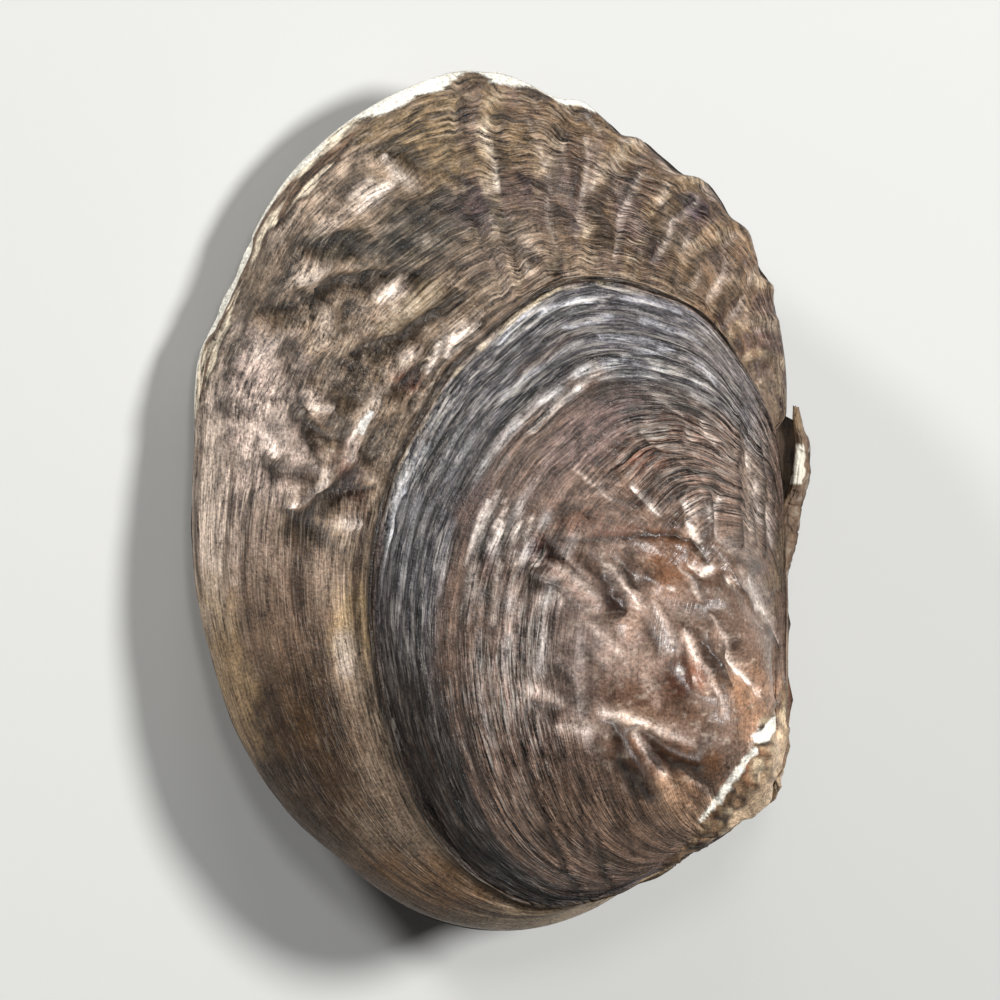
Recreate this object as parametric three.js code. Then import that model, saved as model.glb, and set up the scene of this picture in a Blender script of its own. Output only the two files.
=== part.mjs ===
// Closed shell of a freshwater mussel, lying on its left valve: two valves and the ligament that joins them.
// Millimetres. A valve is worked out in the shell's own frame, with +x towards the hinge, +y towards the rear end,
// +z out of the right valve and z = 0 between the valves, and is then laid down in its resting pose.
import * as THREE from "three";

// Size of the shell
const rearReach = 32.3; // beak to rear end
const frontReach = 9.75; // beak to front end
const valveDepth = 29.0; // hinge line to lower margin
const restStage = 0.715; // share of the growth at which the shell paused and left its step
const rimLift = 0.8; // thickness of the rounded lip at the margin
const valveGap = 0.3; // between the two margins
const wallShare = 0.92; // size of the hollow against the outside
const hollowDepthShare = 0.86; // the same across the valve
const frontDrop = 0.45; // share by which a ring sinks at its front end, which rounds the front
const frontTuck = 0.32; // share by which the young rings fall short of the front, which rounds the umbo
const umboLean = 0.07; // how far the swollen part leans over the hinge, for each mm of its height

// Resting pose
const hingeRaise = THREE.MathUtils.degToRad(21); // hinge side up
const rearRaise = THREE.MathUtils.degToRad(-5); // rear end up, so here it is down
const wornDepth = 0.18; // depth of the flat worn on the left valve where it rests

// Growth marks
const stepDrop = 0.4; // the older shell stands this much above the newer brim at the step
const stepWidth = 0.007; // of the growth
const brimRidge = 0.35; // low swelling of the brim beside the step
const ribHeight = 0.3;
const hingeRecess = 0.9; // groove along the hinge, where the ligament lies

// Mesh fineness
const ribSteps = 4; // columns to a rib
const sideColumns = 14; // from the lower margin up to the first rib
const frontColumns = 22; // the rest of the way around
const outerStages = [
  0.05, 0.1, 0.15, 0.2, 0.25, 0.3, 0.35, 0.4, 0.45, 0.5, 0.55, 0.6, 0.645, 0.685, 0.709,
  0.7235, 0.74, 0.765, 0.795, 0.825, 0.855, 0.885, 0.915, 0.945, 0.97, 0.988, 1,
];
const innerStages = [1, 0.93, 0.8, 0.6, 0.4, 0.2];

// Outline of the margin and of the older shell at its pause, both from the beak by the front end and the lower
// margin to the rear end and back along the hinge. Points with the same number lie on one rib or line of growth.
const marginOutline = [
  [-0.3, -0.2], [-1.5, -2.7], [-3.4, -4.9], [-6.3, -6.7], [-9.5, -8.7], [-13.3, -9.7], [-17.3, -9.1],
  [-21.2, -6.7], [-24.5, -3.7], [-26.9, 0.1], [-28.3, 4.4], [-29.0, 8.8], [-28.9, 13.6], [-28.7, 18.1],
  [-27.2, 21.9], [-24.6, 26.7], [-20.7, 30.2], [-15.6, 32.3], [-10.7, 30.9], [-6.9, 28.6], [-3.2, 26.0],
  [-1.0, 22.4], [0.0, 18.3], [0.05, 14.2], [-0.1, 9.8], [-0.2, 4.7],
];
const restOutline = [
  [-0.1, -0.2], [-1.1, -2.6], [-2.9, -4.5], [-5.3, -6.1], [-7.5, -7.4], [-10.5, -8.5], [-13.2, -8.0],
  [-15.8, -6.2], [-17.6, -3.6], [-19.0, -0.1], [-19.7, 3.1], [-20.0, 6.4], [-19.7, 9.5], [-18.9, 12.6],
  [-17.6, 15.2], [-16.0, 17.7], [-14.5, 19.1], [-13.3, 20.2], [-11.3, 21.6], [-9.3, 22.0], [-6.8, 21.6],
  [-4.2, 20.4], [-2.3, 18.1], [-0.8, 15.6], [-0.15, 12.8], [0.0, 6.4],
];

// Sections across the valve as [x, z], from the beak to the pause and from the pause to the margin
const lowerSideYoung = [
  [-1.3, 1.9], [-0.6, 4.0], [-1.2, 6.4], [-3.6, 8.5], [-8.0, 9.4], [-13.2, 8.7], [-17.4, 6.9], [-20.0, 4.8],
];
const lowerSideOld = [[-20.0, 4.6], [-22.0, 4.15], [-24.4, 3.5], [-26.6, 2.5], [-28.2, 1.2], [-29.0, 0]];
const hingeSideYoung = [
  [-1.3, 1.9], [-0.9, 1.6], [-0.6, 1.4], [-0.4, 1.2], [-0.25, 1.05], [-0.15, 0.9], [-0.05, 0.75], [0, 0.6],
];
const hingeSideOld = [[0, 0.6], [0, 0.48], [0, 0.36], [0, 0.24], [0, 0.12], [0, 0]];

// Grooves between the ribs, by outline point number
const ribGrooves = [16.94, 17.45, 18.24, 19.07, 19.88, 20.56, 21.27, 21.75, 22.2, 22.65];

// Lumps and dents, each a ridge between two places: x1, y1, x2, y2, width, height
const lumps = [
  [-20.6, 25.3, -19.4, 26.8, 0.9, 0.45], [-19.0, 27.7, -17.9, 26.8, 0.7, 0.4], [-19.2, 28.4, -17.9, 28.1, 0.5, -0.3],
  [-22.1, 24.6, -21.8, 24.8, 0.8, 0.4], [-22.2, 23.2, -21.7, 23.8, 0.8, -0.35], [-23.2, 22.3, -22.4, 22.8, 0.9, 0.45],
  [-19.2, 21.3, -18.7, 21.6, 0.9, 0.45], [-22.8, 20.9, -21.8, 21.9, 0.5, -0.4], [-21.8, 21.9, -17.4, 22.2, 0.5, -0.35],
  [-22.5, 19.3, -22.4, 20.4, 0.7, 0.4], [-25.1, 18.0, -24.9, 19.6, 1.0, 0.35], [-24.5, 20.5, -24.2, 20.7, 0.8, -0.3],
  [-19.8, 18.2, -16.2, 20.9, 0.45, -0.45], [-18.8, 20.0, -17.2, 21.0, 0.9, 0.35], [-15.8, 19.2, -15.3, 19.6, 0.7, 0.4],
  [-18.7, 17.6, -18.0, 18.6, 0.6, 0.4], [-21.2, 17.9, -20.3, 18.6, 0.7, -0.4], [-19.3, 16.0, -20.9, 15.0, 0.55, 0.45],
  [-20.9, 15.0, -21.3, 13.0, 0.6, 0.45], [-22.9, 15.9, -22.3, 15.9, 0.75, 0.5], [-23.5, 15.5, -23.3, 14.4, 0.5, -0.45],
  [-24.9, 15.6, -24.4, 13.8, 1.1, 0.4], [-25.0, 12.9, -24.7, 12.6, 0.6, -0.35], [-23.6, 11.6, -22.2, 12.5, 0.8, 0.5],
  [-22.4, 11.3, -21.3, 12.2, 0.9, -0.6], [-21.5, 10.2, -21.2, 10.2, 0.9, 0.4], [-23.4, 10.2, -23.2, 9.9, 0.9, -0.35],
  [-26.3, 14.0, -25.9, 12.5, 1.0, 0.25], [-28.0, 20.0, -26.4, 23.4, 0.7, 0.25],
  [-7.9, 13.1, -6.2, 10.9, 0.6, 0.4], [-6.5, 14.9, -6.2, 14.3, 0.6, 0.3], [-6.0, 15.3, -5.2, 15.1, 0.7, -0.3],
  [-5.9, 8.7, -5.1, 8.4, 1.4, 0.6], [-7.6, 8.0, -7.0, 7.6, 0.7, -0.4], [-3.9, 8.4, -3.5, 8.2, 0.6, 0.4],
  [-11.9, 8.6, -11.7, 8.4, 0.7, 0.5], [-12.4, 8.0, -11.4, 7.2, 0.45, -0.45], [-11.0, 7.8, -9.9, 6.9, 0.45, 0.45],
  [-10.5, 8.5, -9.4, 7.6, 0.45, 0.4], [-8.6, 6.7, -8.3, 6.1, 0.7, -0.45], [-9.0, 6.7, -7.6, 5.3, 0.7, 0.3],
  [-4.8, 11.2, -4.5, 9.8, 0.5, 0.35], [-3.2, 11.4, -3.0, 10.0, 0.5, 0.35], [-3.8, 11.0, -3.9, 9.6, 0.35, -0.3],
  [-4.8, 4.8, -4.1, 2.6, 0.5, 0.45], [-3.3, 4.9, -2.3, 3.0, 0.6, 0.35], [-2.2, 3.7, -1.4, 2.1, 0.5, 0.4],
  [-5.6, 2.9, -5.1, 2.2, 0.8, -0.35], [-2.6, 7.7, -1.4, 5.9, 0.5, 0.3], [-8.9, 1.4, -4.9, 0.2, 0.8, 0.45],
  [-7.3, -0.3, -6.2, -1.7, 0.5, 0.4], [-6.7, -0.6, -4.5, -1.0, 0.7, -0.3], [-7.8, -1.0, -6.4, -2.7, 0.5, -0.3],
  [-10.4, 0.5, -9.6, 0.4, 0.8, 0.3], [-12.6, 1.9, -11.9, 1.8, 0.8, 0.3], [-12.2, 1.3, -11.5, 1.2, 0.6, -0.3],
  [-5.5, -2.4, -5.0, -2.7, 0.8, 0.35], [-1.4, 7.6, -0.9, 5.6, 0.4, 0.25],
];

// Ligament: how far out it stands and how thick and wide it is along its length, from the front to the rear
const ligamentPath = [
  [6.3, 0.0], [7.4, 0.25], [8.3, 0.5], [9.2, 0.65], [10.0, 0.8], [11.0, 1.0], [12.0, 1.12], [13.2, 1.2],
  [14.1, 1.12], [14.8, 0.95], [15.5, 0.8], [16.1, 0.62],
];
const ligamentThick = 0.75;
const ligamentHalfWidth = 0.85;
const ligamentStations = 16;
const ligamentSides = 8;

function smooth(low, high, value) {
  return THREE.MathUtils.smoothstep(value, low, high);
}

function bell(offset, width) {
  return Math.exp(-((offset / width) ** 2));
}

function curveThrough(points, closed) {
  const places = points.map(([a, b]) => new THREE.Vector3(a, b, 0));
  return new THREE.CatmullRomCurve3(places, closed, "catmullrom", 0.5);
}

// An outline as shares: across from the hinge (0) to the lower side (1), and from the front end (0) to the rear (1)
function shareOutline(points) {
  const across = points.map(([x]) => -x);
  const along = points.map(([, y]) => y);
  const deepest = Math.max(...across);
  const front = Math.min(...along);
  const span = Math.max(...along) - front;
  return curveThrough(points.map(([x, y]) => [-x / deepest, (y - front) / span]), true);
}

const marginShares = shareOutline(marginOutline);
const restShares = shareOutline(restOutline);
const lowerYoung = curveThrough(lowerSideYoung, false);
const lowerOld = curveThrough(lowerSideOld, false);
const hingeYoung = curveThrough(hingeSideYoung, false);
const hingeOld = curveThrough(hingeSideOld, false);

// A place on the smooth valve. Each stage of growth is a ring hung between its hinge end and its lower end, and
// the ring's shape turns from the older outline into the margin after the pause.
function valvePlace(stage, point) {
  const t = (((point / marginOutline.length) % 1) + 1) % 1;
  const young = Math.min(stage / restStage, 1);
  const old = Math.max((stage - restStage) / (1 - restStage), 0);
  const lower = stage <= restStage ? lowerYoung.getPoint(young) : lowerOld.getPoint(old);
  const hinge = stage <= restStage ? hingeYoung.getPoint(young) : hingeOld.getPoint(old);
  const share = restShares.getPoint(t).lerp(marginShares.getPoint(t), old);
  const across = THREE.MathUtils.clamp(share.x, -0.02, 1.02);
  const bulge = 1 - Math.sign(1 - across) * Math.abs(1 - across) ** 1.8;
  const front = -frontReach * stage ** 0.44 * (1 - frontTuck * (1 - smooth(0.25, 0.65, stage)));
  const rear = rearReach * stage ** 1.176;
  const y = front + share.y * (rear - front);
  const lip = rimLift * Math.sqrt(1 - old ** 10) * Math.min(stage / 0.3, 1);
  const rounding = 1 - frontDrop * Math.max(1 - share.y / 0.4, 0) ** 2;
  const z = valveGap / 2 + hinge.y + bulge * rounding * (lower.y - hinge.y) + lip;
  const groove = hingeRecess * smooth(4, 6.5, y) * (1 - smooth(14, 15.5, y)) * smooth(0.72, 1, stage);
  const x = hinge.x + across * (lower.x - hinge.x) - groove * bell(across, 0.06);
  return new THREE.Vector3(x, y, z);
}

function ribLift(stage, point) {
  const next = ribGrooves.findIndex((groove) => groove > point);
  if (next < 1) {
    return 0;
  }
  const width = ribGrooves[next] - ribGrooves[next - 1];
  const middle = (point - ribGrooves[next - 1]) / width - 0.5;
  return ribHeight * (0.5 - Math.abs(2 * middle) ** 3) * smooth(restStage, 0.8, stage);
}

function lumpLift(place, rows) {
  let lift = 0;
  for (const [x1, y1, x2, y2, width, height] of rows) {
    const runX = x2 - x1;
    const runY = y2 - y1;
    const along = ((place.x - x1) * runX + (place.y - y1) * runY) / (runX * runX + runY * runY);
    const near = THREE.MathUtils.clamp(along, 0, 1);
    const distance = Math.hypot(place.x - x1 - near * runX, place.y - y1 - near * runY);
    lift += height * bell(distance, width);
  }
  return lift;
}

function growthLift(stage, point, across) {
  const frontEnd = 1 - 0.6 * smooth(2, 4, point) * (1 - smooth(6, 8, point));
  const crease = -stepDrop * frontEnd * bell(stage - restStage - stepWidth, stepWidth);
  const lowerFront = smooth(3, 5, point) * (1 - smooth(10.5, 12.5, point));
  const ridge = brimRidge * bell(stage - 0.765, 0.022) * lowerFront;
  return (crease + ridge) * smooth(0.02, 0.12, across);
}

// A place on the finished outside: the smooth valve pushed out along its normal by the ribs, lumps and step
function outsidePlace(stage, point, rows) {
  const place = valvePlace(stage, point);
  const away = valvePlace(stage + (stage > 0.99 ? -0.004 : 0.004), point).sub(place);
  const beside = valvePlace(stage, point + 0.02).sub(place);
  const normal = stage > 0.99 ? beside.cross(away) : away.cross(beside);
  normal.normalize();
  const across = -place.x / valveDepth;
  const clear = smooth(0, 0.03, across) * (stage < 1 ? 1 : 0.5);
  const lift = (ribLift(stage, point) + lumpLift(place, rows)) * clear + growthLift(stage, point, across);
  place.addScaledVector(normal, lift);
  place.z = Math.max(place.z, valveGap / 2);
  return place;
}

function insidePlace(stage, point) {
  const place = valvePlace(stage, point);
  const middleX = -12;
  const middleY = 10;
  place.x = middleX + (place.x - middleX) * wallShare;
  place.y = middleY + (place.y - middleY) * wallShare;
  place.z = valveGap / 2 + (place.z - valveGap / 2) * hollowDepthShare;
  return place;
}

function columnPoints() {
  const points = [];
  for (let rib = 0; rib < ribGrooves.length - 1; rib += 1) {
    for (let step = 0; step < ribSteps; step += 1) {
      points.push(THREE.MathUtils.lerp(ribGrooves[rib], ribGrooves[rib + 1], step / ribSteps));
    }
  }
  const ribStart = ribGrooves[0] + marginOutline.length;
  const sideStart = 11 + marginOutline.length;
  const ribEnd = ribGrooves[ribGrooves.length - 1];
  for (let step = 0; step < frontColumns; step += 1) {
    points.push(THREE.MathUtils.lerp(ribEnd, sideStart, step / frontColumns));
  }
  for (let step = 0; step < sideColumns; step += 1) {
    points.push(THREE.MathUtils.lerp(sideStart, ribStart, step / sideColumns));
  }
  return points.map((point) => point % marginOutline.length);
}

// Leans the valve over the hinge, mirrors it for the left side and turns it into its resting pose
const restTurn = new THREE.Quaternion().setFromEuler(new THREE.Euler(rearRaise, -hingeRaise, 0, "XYZ"));

function toRest(place, side) {
  const leaned = new THREE.Vector3(place.x + umboLean * place.z, place.y, place.z * side);
  return leaned.applyQuaternion(restTurn);
}

function valvePlaces(side, rows) {
  const columns = columnPoints();
  const places = [valvePlace(0, 0)];
  for (const stage of outerStages) {
    for (const point of columns) {
      places.push(outsidePlace(stage, point, rows));
    }
  }
  for (const stage of innerStages) {
    for (const point of columns) {
      places.push(insidePlace(stage, point));
    }
  }
  places.push(insidePlace(0, 0));
  return places.map((place) => toRest(place, side));
}

// Closed skin over rings of equal length between two single end places
function ringSkin(places, ringLength, flipped) {
  const rings = (places.length - 2) / ringLength;
  const last = places.length - 1;
  const index = [];
  const face = (a, b, c) => (flipped ? index.push(a, c, b) : index.push(a, b, c));
  for (let k = 0; k < ringLength; k += 1) {
    const next = (k + 1) % ringLength;
    face(0, 1 + k, 1 + next);
    for (let ring = 0; ring < rings - 1; ring += 1) {
      const here = 1 + ring * ringLength;
      const after = here + ringLength;
      face(here + k, after + k, after + next);
      face(here + k, after + next, here + next);
    }
    const end = 1 + (rings - 1) * ringLength;
    face(end + k, last, end + next);
  }
  const geometry = new THREE.BufferGeometry();
  geometry.setAttribute("position", new THREE.Float32BufferAttribute(places.flatMap((p) => p.toArray()), 3));
  geometry.setIndex(index);
  geometry.computeVertexNormals();
  return geometry;
}

function ligamentPlaces() {
  const path = curveThrough(ligamentPath, false);
  const places = [];
  for (let station = 0; station <= ligamentStations; station += 1) {
    const t = 0.02 + (0.96 * station) / ligamentStations;
    const { x: y, y: outer } = path.getPoint(t);
    const taper = Math.sqrt(Math.sin(Math.PI * Math.min(Math.max(t, 0.03), 0.97)));
    const thick = ligamentThick * taper * (1 - 0.35 * smooth(0.5, 0.9, t));
    const halfWidth = ligamentHalfWidth * taper;
    for (let k = 0; k < ligamentSides; k += 1) {
      const turn = (2 * Math.PI * k) / ligamentSides;
      const x = outer - thick / 2 + (thick / 2) * Math.cos(turn);
      places.push(new THREE.Vector3(x, y, halfWidth * Math.sin(turn)));
    }
  }
  const start = path.getPoint(0);
  const finish = path.getPoint(1);
  places.unshift(new THREE.Vector3(start.y - 0.2, start.x, 0));
  places.push(new THREE.Vector3(finish.y - 0.15, finish.x, 0));
  return places.map((place) => place.applyQuaternion(restTurn));
}

const leftLumps = lumps.map(([x1, y1, x2, y2, width, height], k) => {
  const shiftX = 0.9 * Math.sin(2.3 * k);
  const shiftY = 0.8 * Math.cos(3.1 * k);
  return [x1 + shiftX, y1 + shiftY, x2 + shiftX, y2 + shiftY, width, height];
});

const rightPlaces = valvePlaces(1, lumps);
const leftPlaces = valvePlaces(-1, leftLumps);
const ligament = ligamentPlaces();

// The shell stands on the flat worn into the left valve's lowest part, over the middle of its box
const allPlaces = [...rightPlaces, ...leftPlaces, ...ligament];
const box = new THREE.Box3().setFromPoints(allPlaces);
const middle = box.getCenter(new THREE.Vector3());
const floor = box.min.z + wornDepth;
for (const place of allPlaces) {
  place.x -= middle.x;
  place.y -= middle.y;
  place.z = Math.max(place.z - floor, 0);
}

const columnCount = columnPoints().length;
const periostracum = new THREE.MeshStandardMaterial({ color: 0x6b5644, roughness: 0.42, metalness: 0 });
const hornyBrown = new THREE.MeshStandardMaterial({ color: 0x4a3a2c, roughness: 0.6, metalness: 0 });

const rightValve = new THREE.Mesh(ringSkin(rightPlaces, columnCount, true), periostracum);
rightValve.name = "right_valve";
const leftValve = new THREE.Mesh(ringSkin(leftPlaces, columnCount, false), periostracum.clone());
leftValve.name = "left_valve";
const ligamentBand = new THREE.Mesh(ringSkin(ligament, ligamentSides, false), hornyBrown);
ligamentBand.name = "ligament";

const shell = new THREE.Group();
shell.add(rightValve, leftValve, ligamentBand);
export default shell;
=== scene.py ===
# Closed freshwater mussel shell: two valves grown ring by ring from the beak, and a ligament along the hinge
import math
import bpy
import numpy as np
from mathutils import Matrix, Vector


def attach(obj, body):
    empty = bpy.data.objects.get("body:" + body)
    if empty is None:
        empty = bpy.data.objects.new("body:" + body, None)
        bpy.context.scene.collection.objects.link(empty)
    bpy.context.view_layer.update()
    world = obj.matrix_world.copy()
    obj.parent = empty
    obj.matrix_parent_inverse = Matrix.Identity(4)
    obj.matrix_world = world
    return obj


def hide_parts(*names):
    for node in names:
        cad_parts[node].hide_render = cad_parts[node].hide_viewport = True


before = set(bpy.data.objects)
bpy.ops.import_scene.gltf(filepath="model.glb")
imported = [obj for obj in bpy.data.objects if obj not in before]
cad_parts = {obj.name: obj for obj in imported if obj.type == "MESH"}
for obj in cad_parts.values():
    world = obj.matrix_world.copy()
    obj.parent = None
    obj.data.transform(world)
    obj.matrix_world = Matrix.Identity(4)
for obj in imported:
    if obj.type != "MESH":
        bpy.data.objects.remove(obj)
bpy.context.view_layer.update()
print("frame loaded")

# Millimetres in the shell's own frame: +x to the hinge, +y to the rear end, +z out of the right valve.
# A stage is a share of the growth, and a point is a number along the outline.
growth = {
    "rearReach": 32.3, "frontReach": 9.75, "valveDepth": 29.0, "restStage": 0.715, "rimLift": 0.8,
    "valveGap": 0.3, "wallShare": 0.92, "hollowDepthShare": 0.86, "frontDrop": 0.45, "frontTuck": 0.32,
    "umboLean": 0.07, "stepDrop": 0.32, "stepWidth": 0.006, "brimRidge": 0.35, "ribHeight": 0.3,
    "hingeRecess": 0.9, "bulgePower": 1.8, "frontPower": 0.44, "rearPower": 1.176,
    "hollowCentre": (-12.0, 10.0), "crumpledCentre": (-23.5, 17.0), "outerRings": 276, "innerRings": 12,
    "columns": 336,
}
restPose = {"hingeRaise": 21.0, "rearRaise": -5.0, "middle": (-12.6446, 10.7803), "floor": -13.8461}

# Outlines of the margin and of the older shell at its pause, from the beak round the front, back by the hinge
marginOutline = [
    (-0.3, -0.2), (-1.5, -2.7), (-3.4, -4.9), (-6.3, -6.7), (-9.5, -8.7), (-13.3, -9.7), (-17.3, -9.1),
    (-21.2, -6.7), (-24.5, -3.7), (-26.9, 0.1), (-28.3, 4.4), (-29, 8.8), (-28.9, 13.6), (-28.7, 18.1),
    (-27.2, 21.9), (-24.6, 26.7), (-20.7, 30.2), (-15.6, 32.3), (-10.7, 30.9), (-6.9, 28.6), (-3.2, 26),
    (-1, 22.4), (0, 18.3), (0.05, 14.2), (-0.1, 9.8), (-0.2, 4.7),
]
restOutline = [
    (-0.1, -0.2), (-1.1, -2.6), (-2.9, -4.5), (-5.3, -6.1), (-7.5, -7.4), (-10.5, -8.5), (-13.2, -8),
    (-15.8, -6.2), (-17.6, -3.6), (-19, -0.1), (-19.7, 3.1), (-20, 6.4), (-19.7, 9.5), (-18.9, 12.6),
    (-17.6, 15.2), (-16, 17.7), (-14.5, 19.1), (-13.3, 20.2), (-11.3, 21.6), (-9.3, 22), (-6.8, 21.6),
    (-4.2, 20.4), (-2.3, 18.1), (-0.8, 15.6), (-0.15, 12.8), (0, 6.4),
]

# Sections across the valve, (x, z) from the beak to the pause and from the pause to the margin
lowerSideYoung = [
    (-1.3, 1.9), (-0.6, 4), (-1.2, 6.4), (-3.6, 8.5), (-8, 9.4), (-13.2, 8.7), (-17.4, 6.9), (-20, 4.8),
]
lowerSideOld = [(-20.0, 4.6), (-22.0, 4.15), (-24.4, 3.5), (-26.6, 2.5), (-28.2, 1.2), (-29.0, 0)]
hingeSideYoung = [
    (-1.3, 1.9), (-0.9, 1.6), (-0.6, 1.4), (-0.4, 1.2), (-0.25, 1.05), (-0.15, 0.9), (-0.05, 0.75), (0, 0.6),
]
hingeSideOld = [(0, 0.6), (0, 0.48), (0, 0.36), (0, 0.24), (0, 0.12), (0, 0)]

# Grooves between the ribs, by outline point
ribGrooves = [16.94, 17.45, 18.24, 19.07, 19.88, 20.56, 21.27, 21.75, 22.2, 22.65]

# Lumps and dents, each a ridge between two places: x1, y1, x2, y2, width, height
lumps = [
    (-20.6, 25.3, -19.4, 26.8, 0.9, 0.45), (-19, 27.7, -17.9, 26.8, 0.7, 0.4),
    (-19.2, 28.4, -17.9, 28.1, 0.5, -0.3), (-22.1, 24.6, -21.8, 24.8, 0.8, 0.4),
    (-22.2, 23.2, -21.7, 23.8, 0.8, -0.35), (-23.2, 22.3, -22.4, 22.8, 0.9, 0.45),
    (-19.2, 21.3, -18.7, 21.6, 0.9, 0.28), (-22.8, 20.9, -21.8, 21.9, 0.5, -0.4),
    (-21.8, 21.9, -17.4, 22.2, 0.5, -0.35), (-22.5, 19.3, -22.4, 20.4, 0.7, 0.4),
    (-25.1, 18, -24.9, 19.6, 1, 0.35), (-24.5, 20.5, -24.2, 20.7, 0.8, -0.3),
    (-19.8, 18.2, -16.2, 20.9, 0.45, -0.45), (-18.8, 20, -17.2, 21, 0.9, 0.35),
    (-15.8, 19.2, -15.3, 19.6, 0.7, 0.4), (-18.7, 17.6, -18, 18.6, 0.6, 0.4),
    (-21.2, 17.9, -20.3, 18.6, 0.7, -0.4), (-19.3, 16, -20.9, 15, 0.55, 0.45),
    (-20.9, 15, -21.3, 13, 0.6, 0.35), (-22.9, 15.9, -22.3, 15.9, 0.75, 0.5),
    (-23.5, 15.5, -23.3, 14.4, 0.5, -0.45), (-24.9, 15.6, -24.4, 13.8, 1.1, 0.4),
    (-25, 12.9, -24.7, 12.6, 0.6, -0.35), (-23.6, 11.6, -22.2, 12.5, 0.8, 0.36),
    (-22.4, 11.3, -21.3, 12.2, 0.7, -0.26), (-21.5, 10.2, -21.2, 10.2, 0.9, 0.4),
    (-23.4, 10.2, -23.2, 9.9, 0.9, -0.35), (-26.3, 14, -25.9, 12.5, 1, 0.25),
    (-28, 20, -26.4, 23.4, 0.7, 0.25), (-7.9, 13.1, -6.2, 10.9, 0.6, 0.4), (-6.5, 14.9, -6.2, 14.3, 0.6, 0.3),
    (-6, 15.3, -5.2, 15.1, 0.7, -0.3), (-5.9, 8.7, -5.1, 8.4, 1.4, 0.6), (-7.6, 8, -7, 7.6, 0.7, -0.4),
    (-3.9, 8.4, -3.5, 8.2, 0.6, 0.4), (-11.9, 8.6, -11.7, 8.4, 0.7, 0.5), (-12.4, 8, -11.4, 7.2, 0.45, -0.45),
    (-11, 7.8, -9.9, 6.9, 0.45, 0.45), (-10.5, 8.5, -9.4, 7.6, 0.45, 0.4), (-8.6, 6.7, -8.3, 6.1, 0.7, -0.45),
    (-9, 6.7, -7.6, 5.3, 0.7, 0.3), (-4.8, 11.2, -4.5, 9.8, 0.5, 0.35), (-3.2, 11.4, -3, 10, 0.5, 0.35),
    (-3.8, 11, -3.9, 9.6, 0.35, -0.3), (-4.8, 4.8, -4.1, 2.6, 0.5, 0.45), (-3.3, 4.9, -2.3, 3, 0.6, 0.35),
    (-2.2, 3.7, -1.4, 2.1, 0.5, 0.4), (-5.6, 2.9, -5.1, 2.2, 0.8, -0.35), (-2.6, 7.7, -1.4, 5.9, 0.5, 0.3),
    (-8.9, 1.4, -4.9, 0.2, 0.8, 0.45), (-7.3, -0.3, -6.2, -1.7, 0.5, 0.4), (-6.7, -0.6, -4.5, -1, 0.7, -0.3),
    (-7.8, -1, -6.4, -2.7, 0.5, -0.3), (-10.4, 0.5, -9.6, 0.4, 0.8, 0.3), (-12.6, 1.9, -11.9, 1.8, 0.8, 0.3),
    (-12.2, 1.3, -11.5, 1.2, 0.6, -0.3), (-5.5, -2.4, -5, -2.7, 0.8, 0.35), (-1.4, 7.6, -0.9, 5.6, 0.4, 0.25),
]

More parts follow.
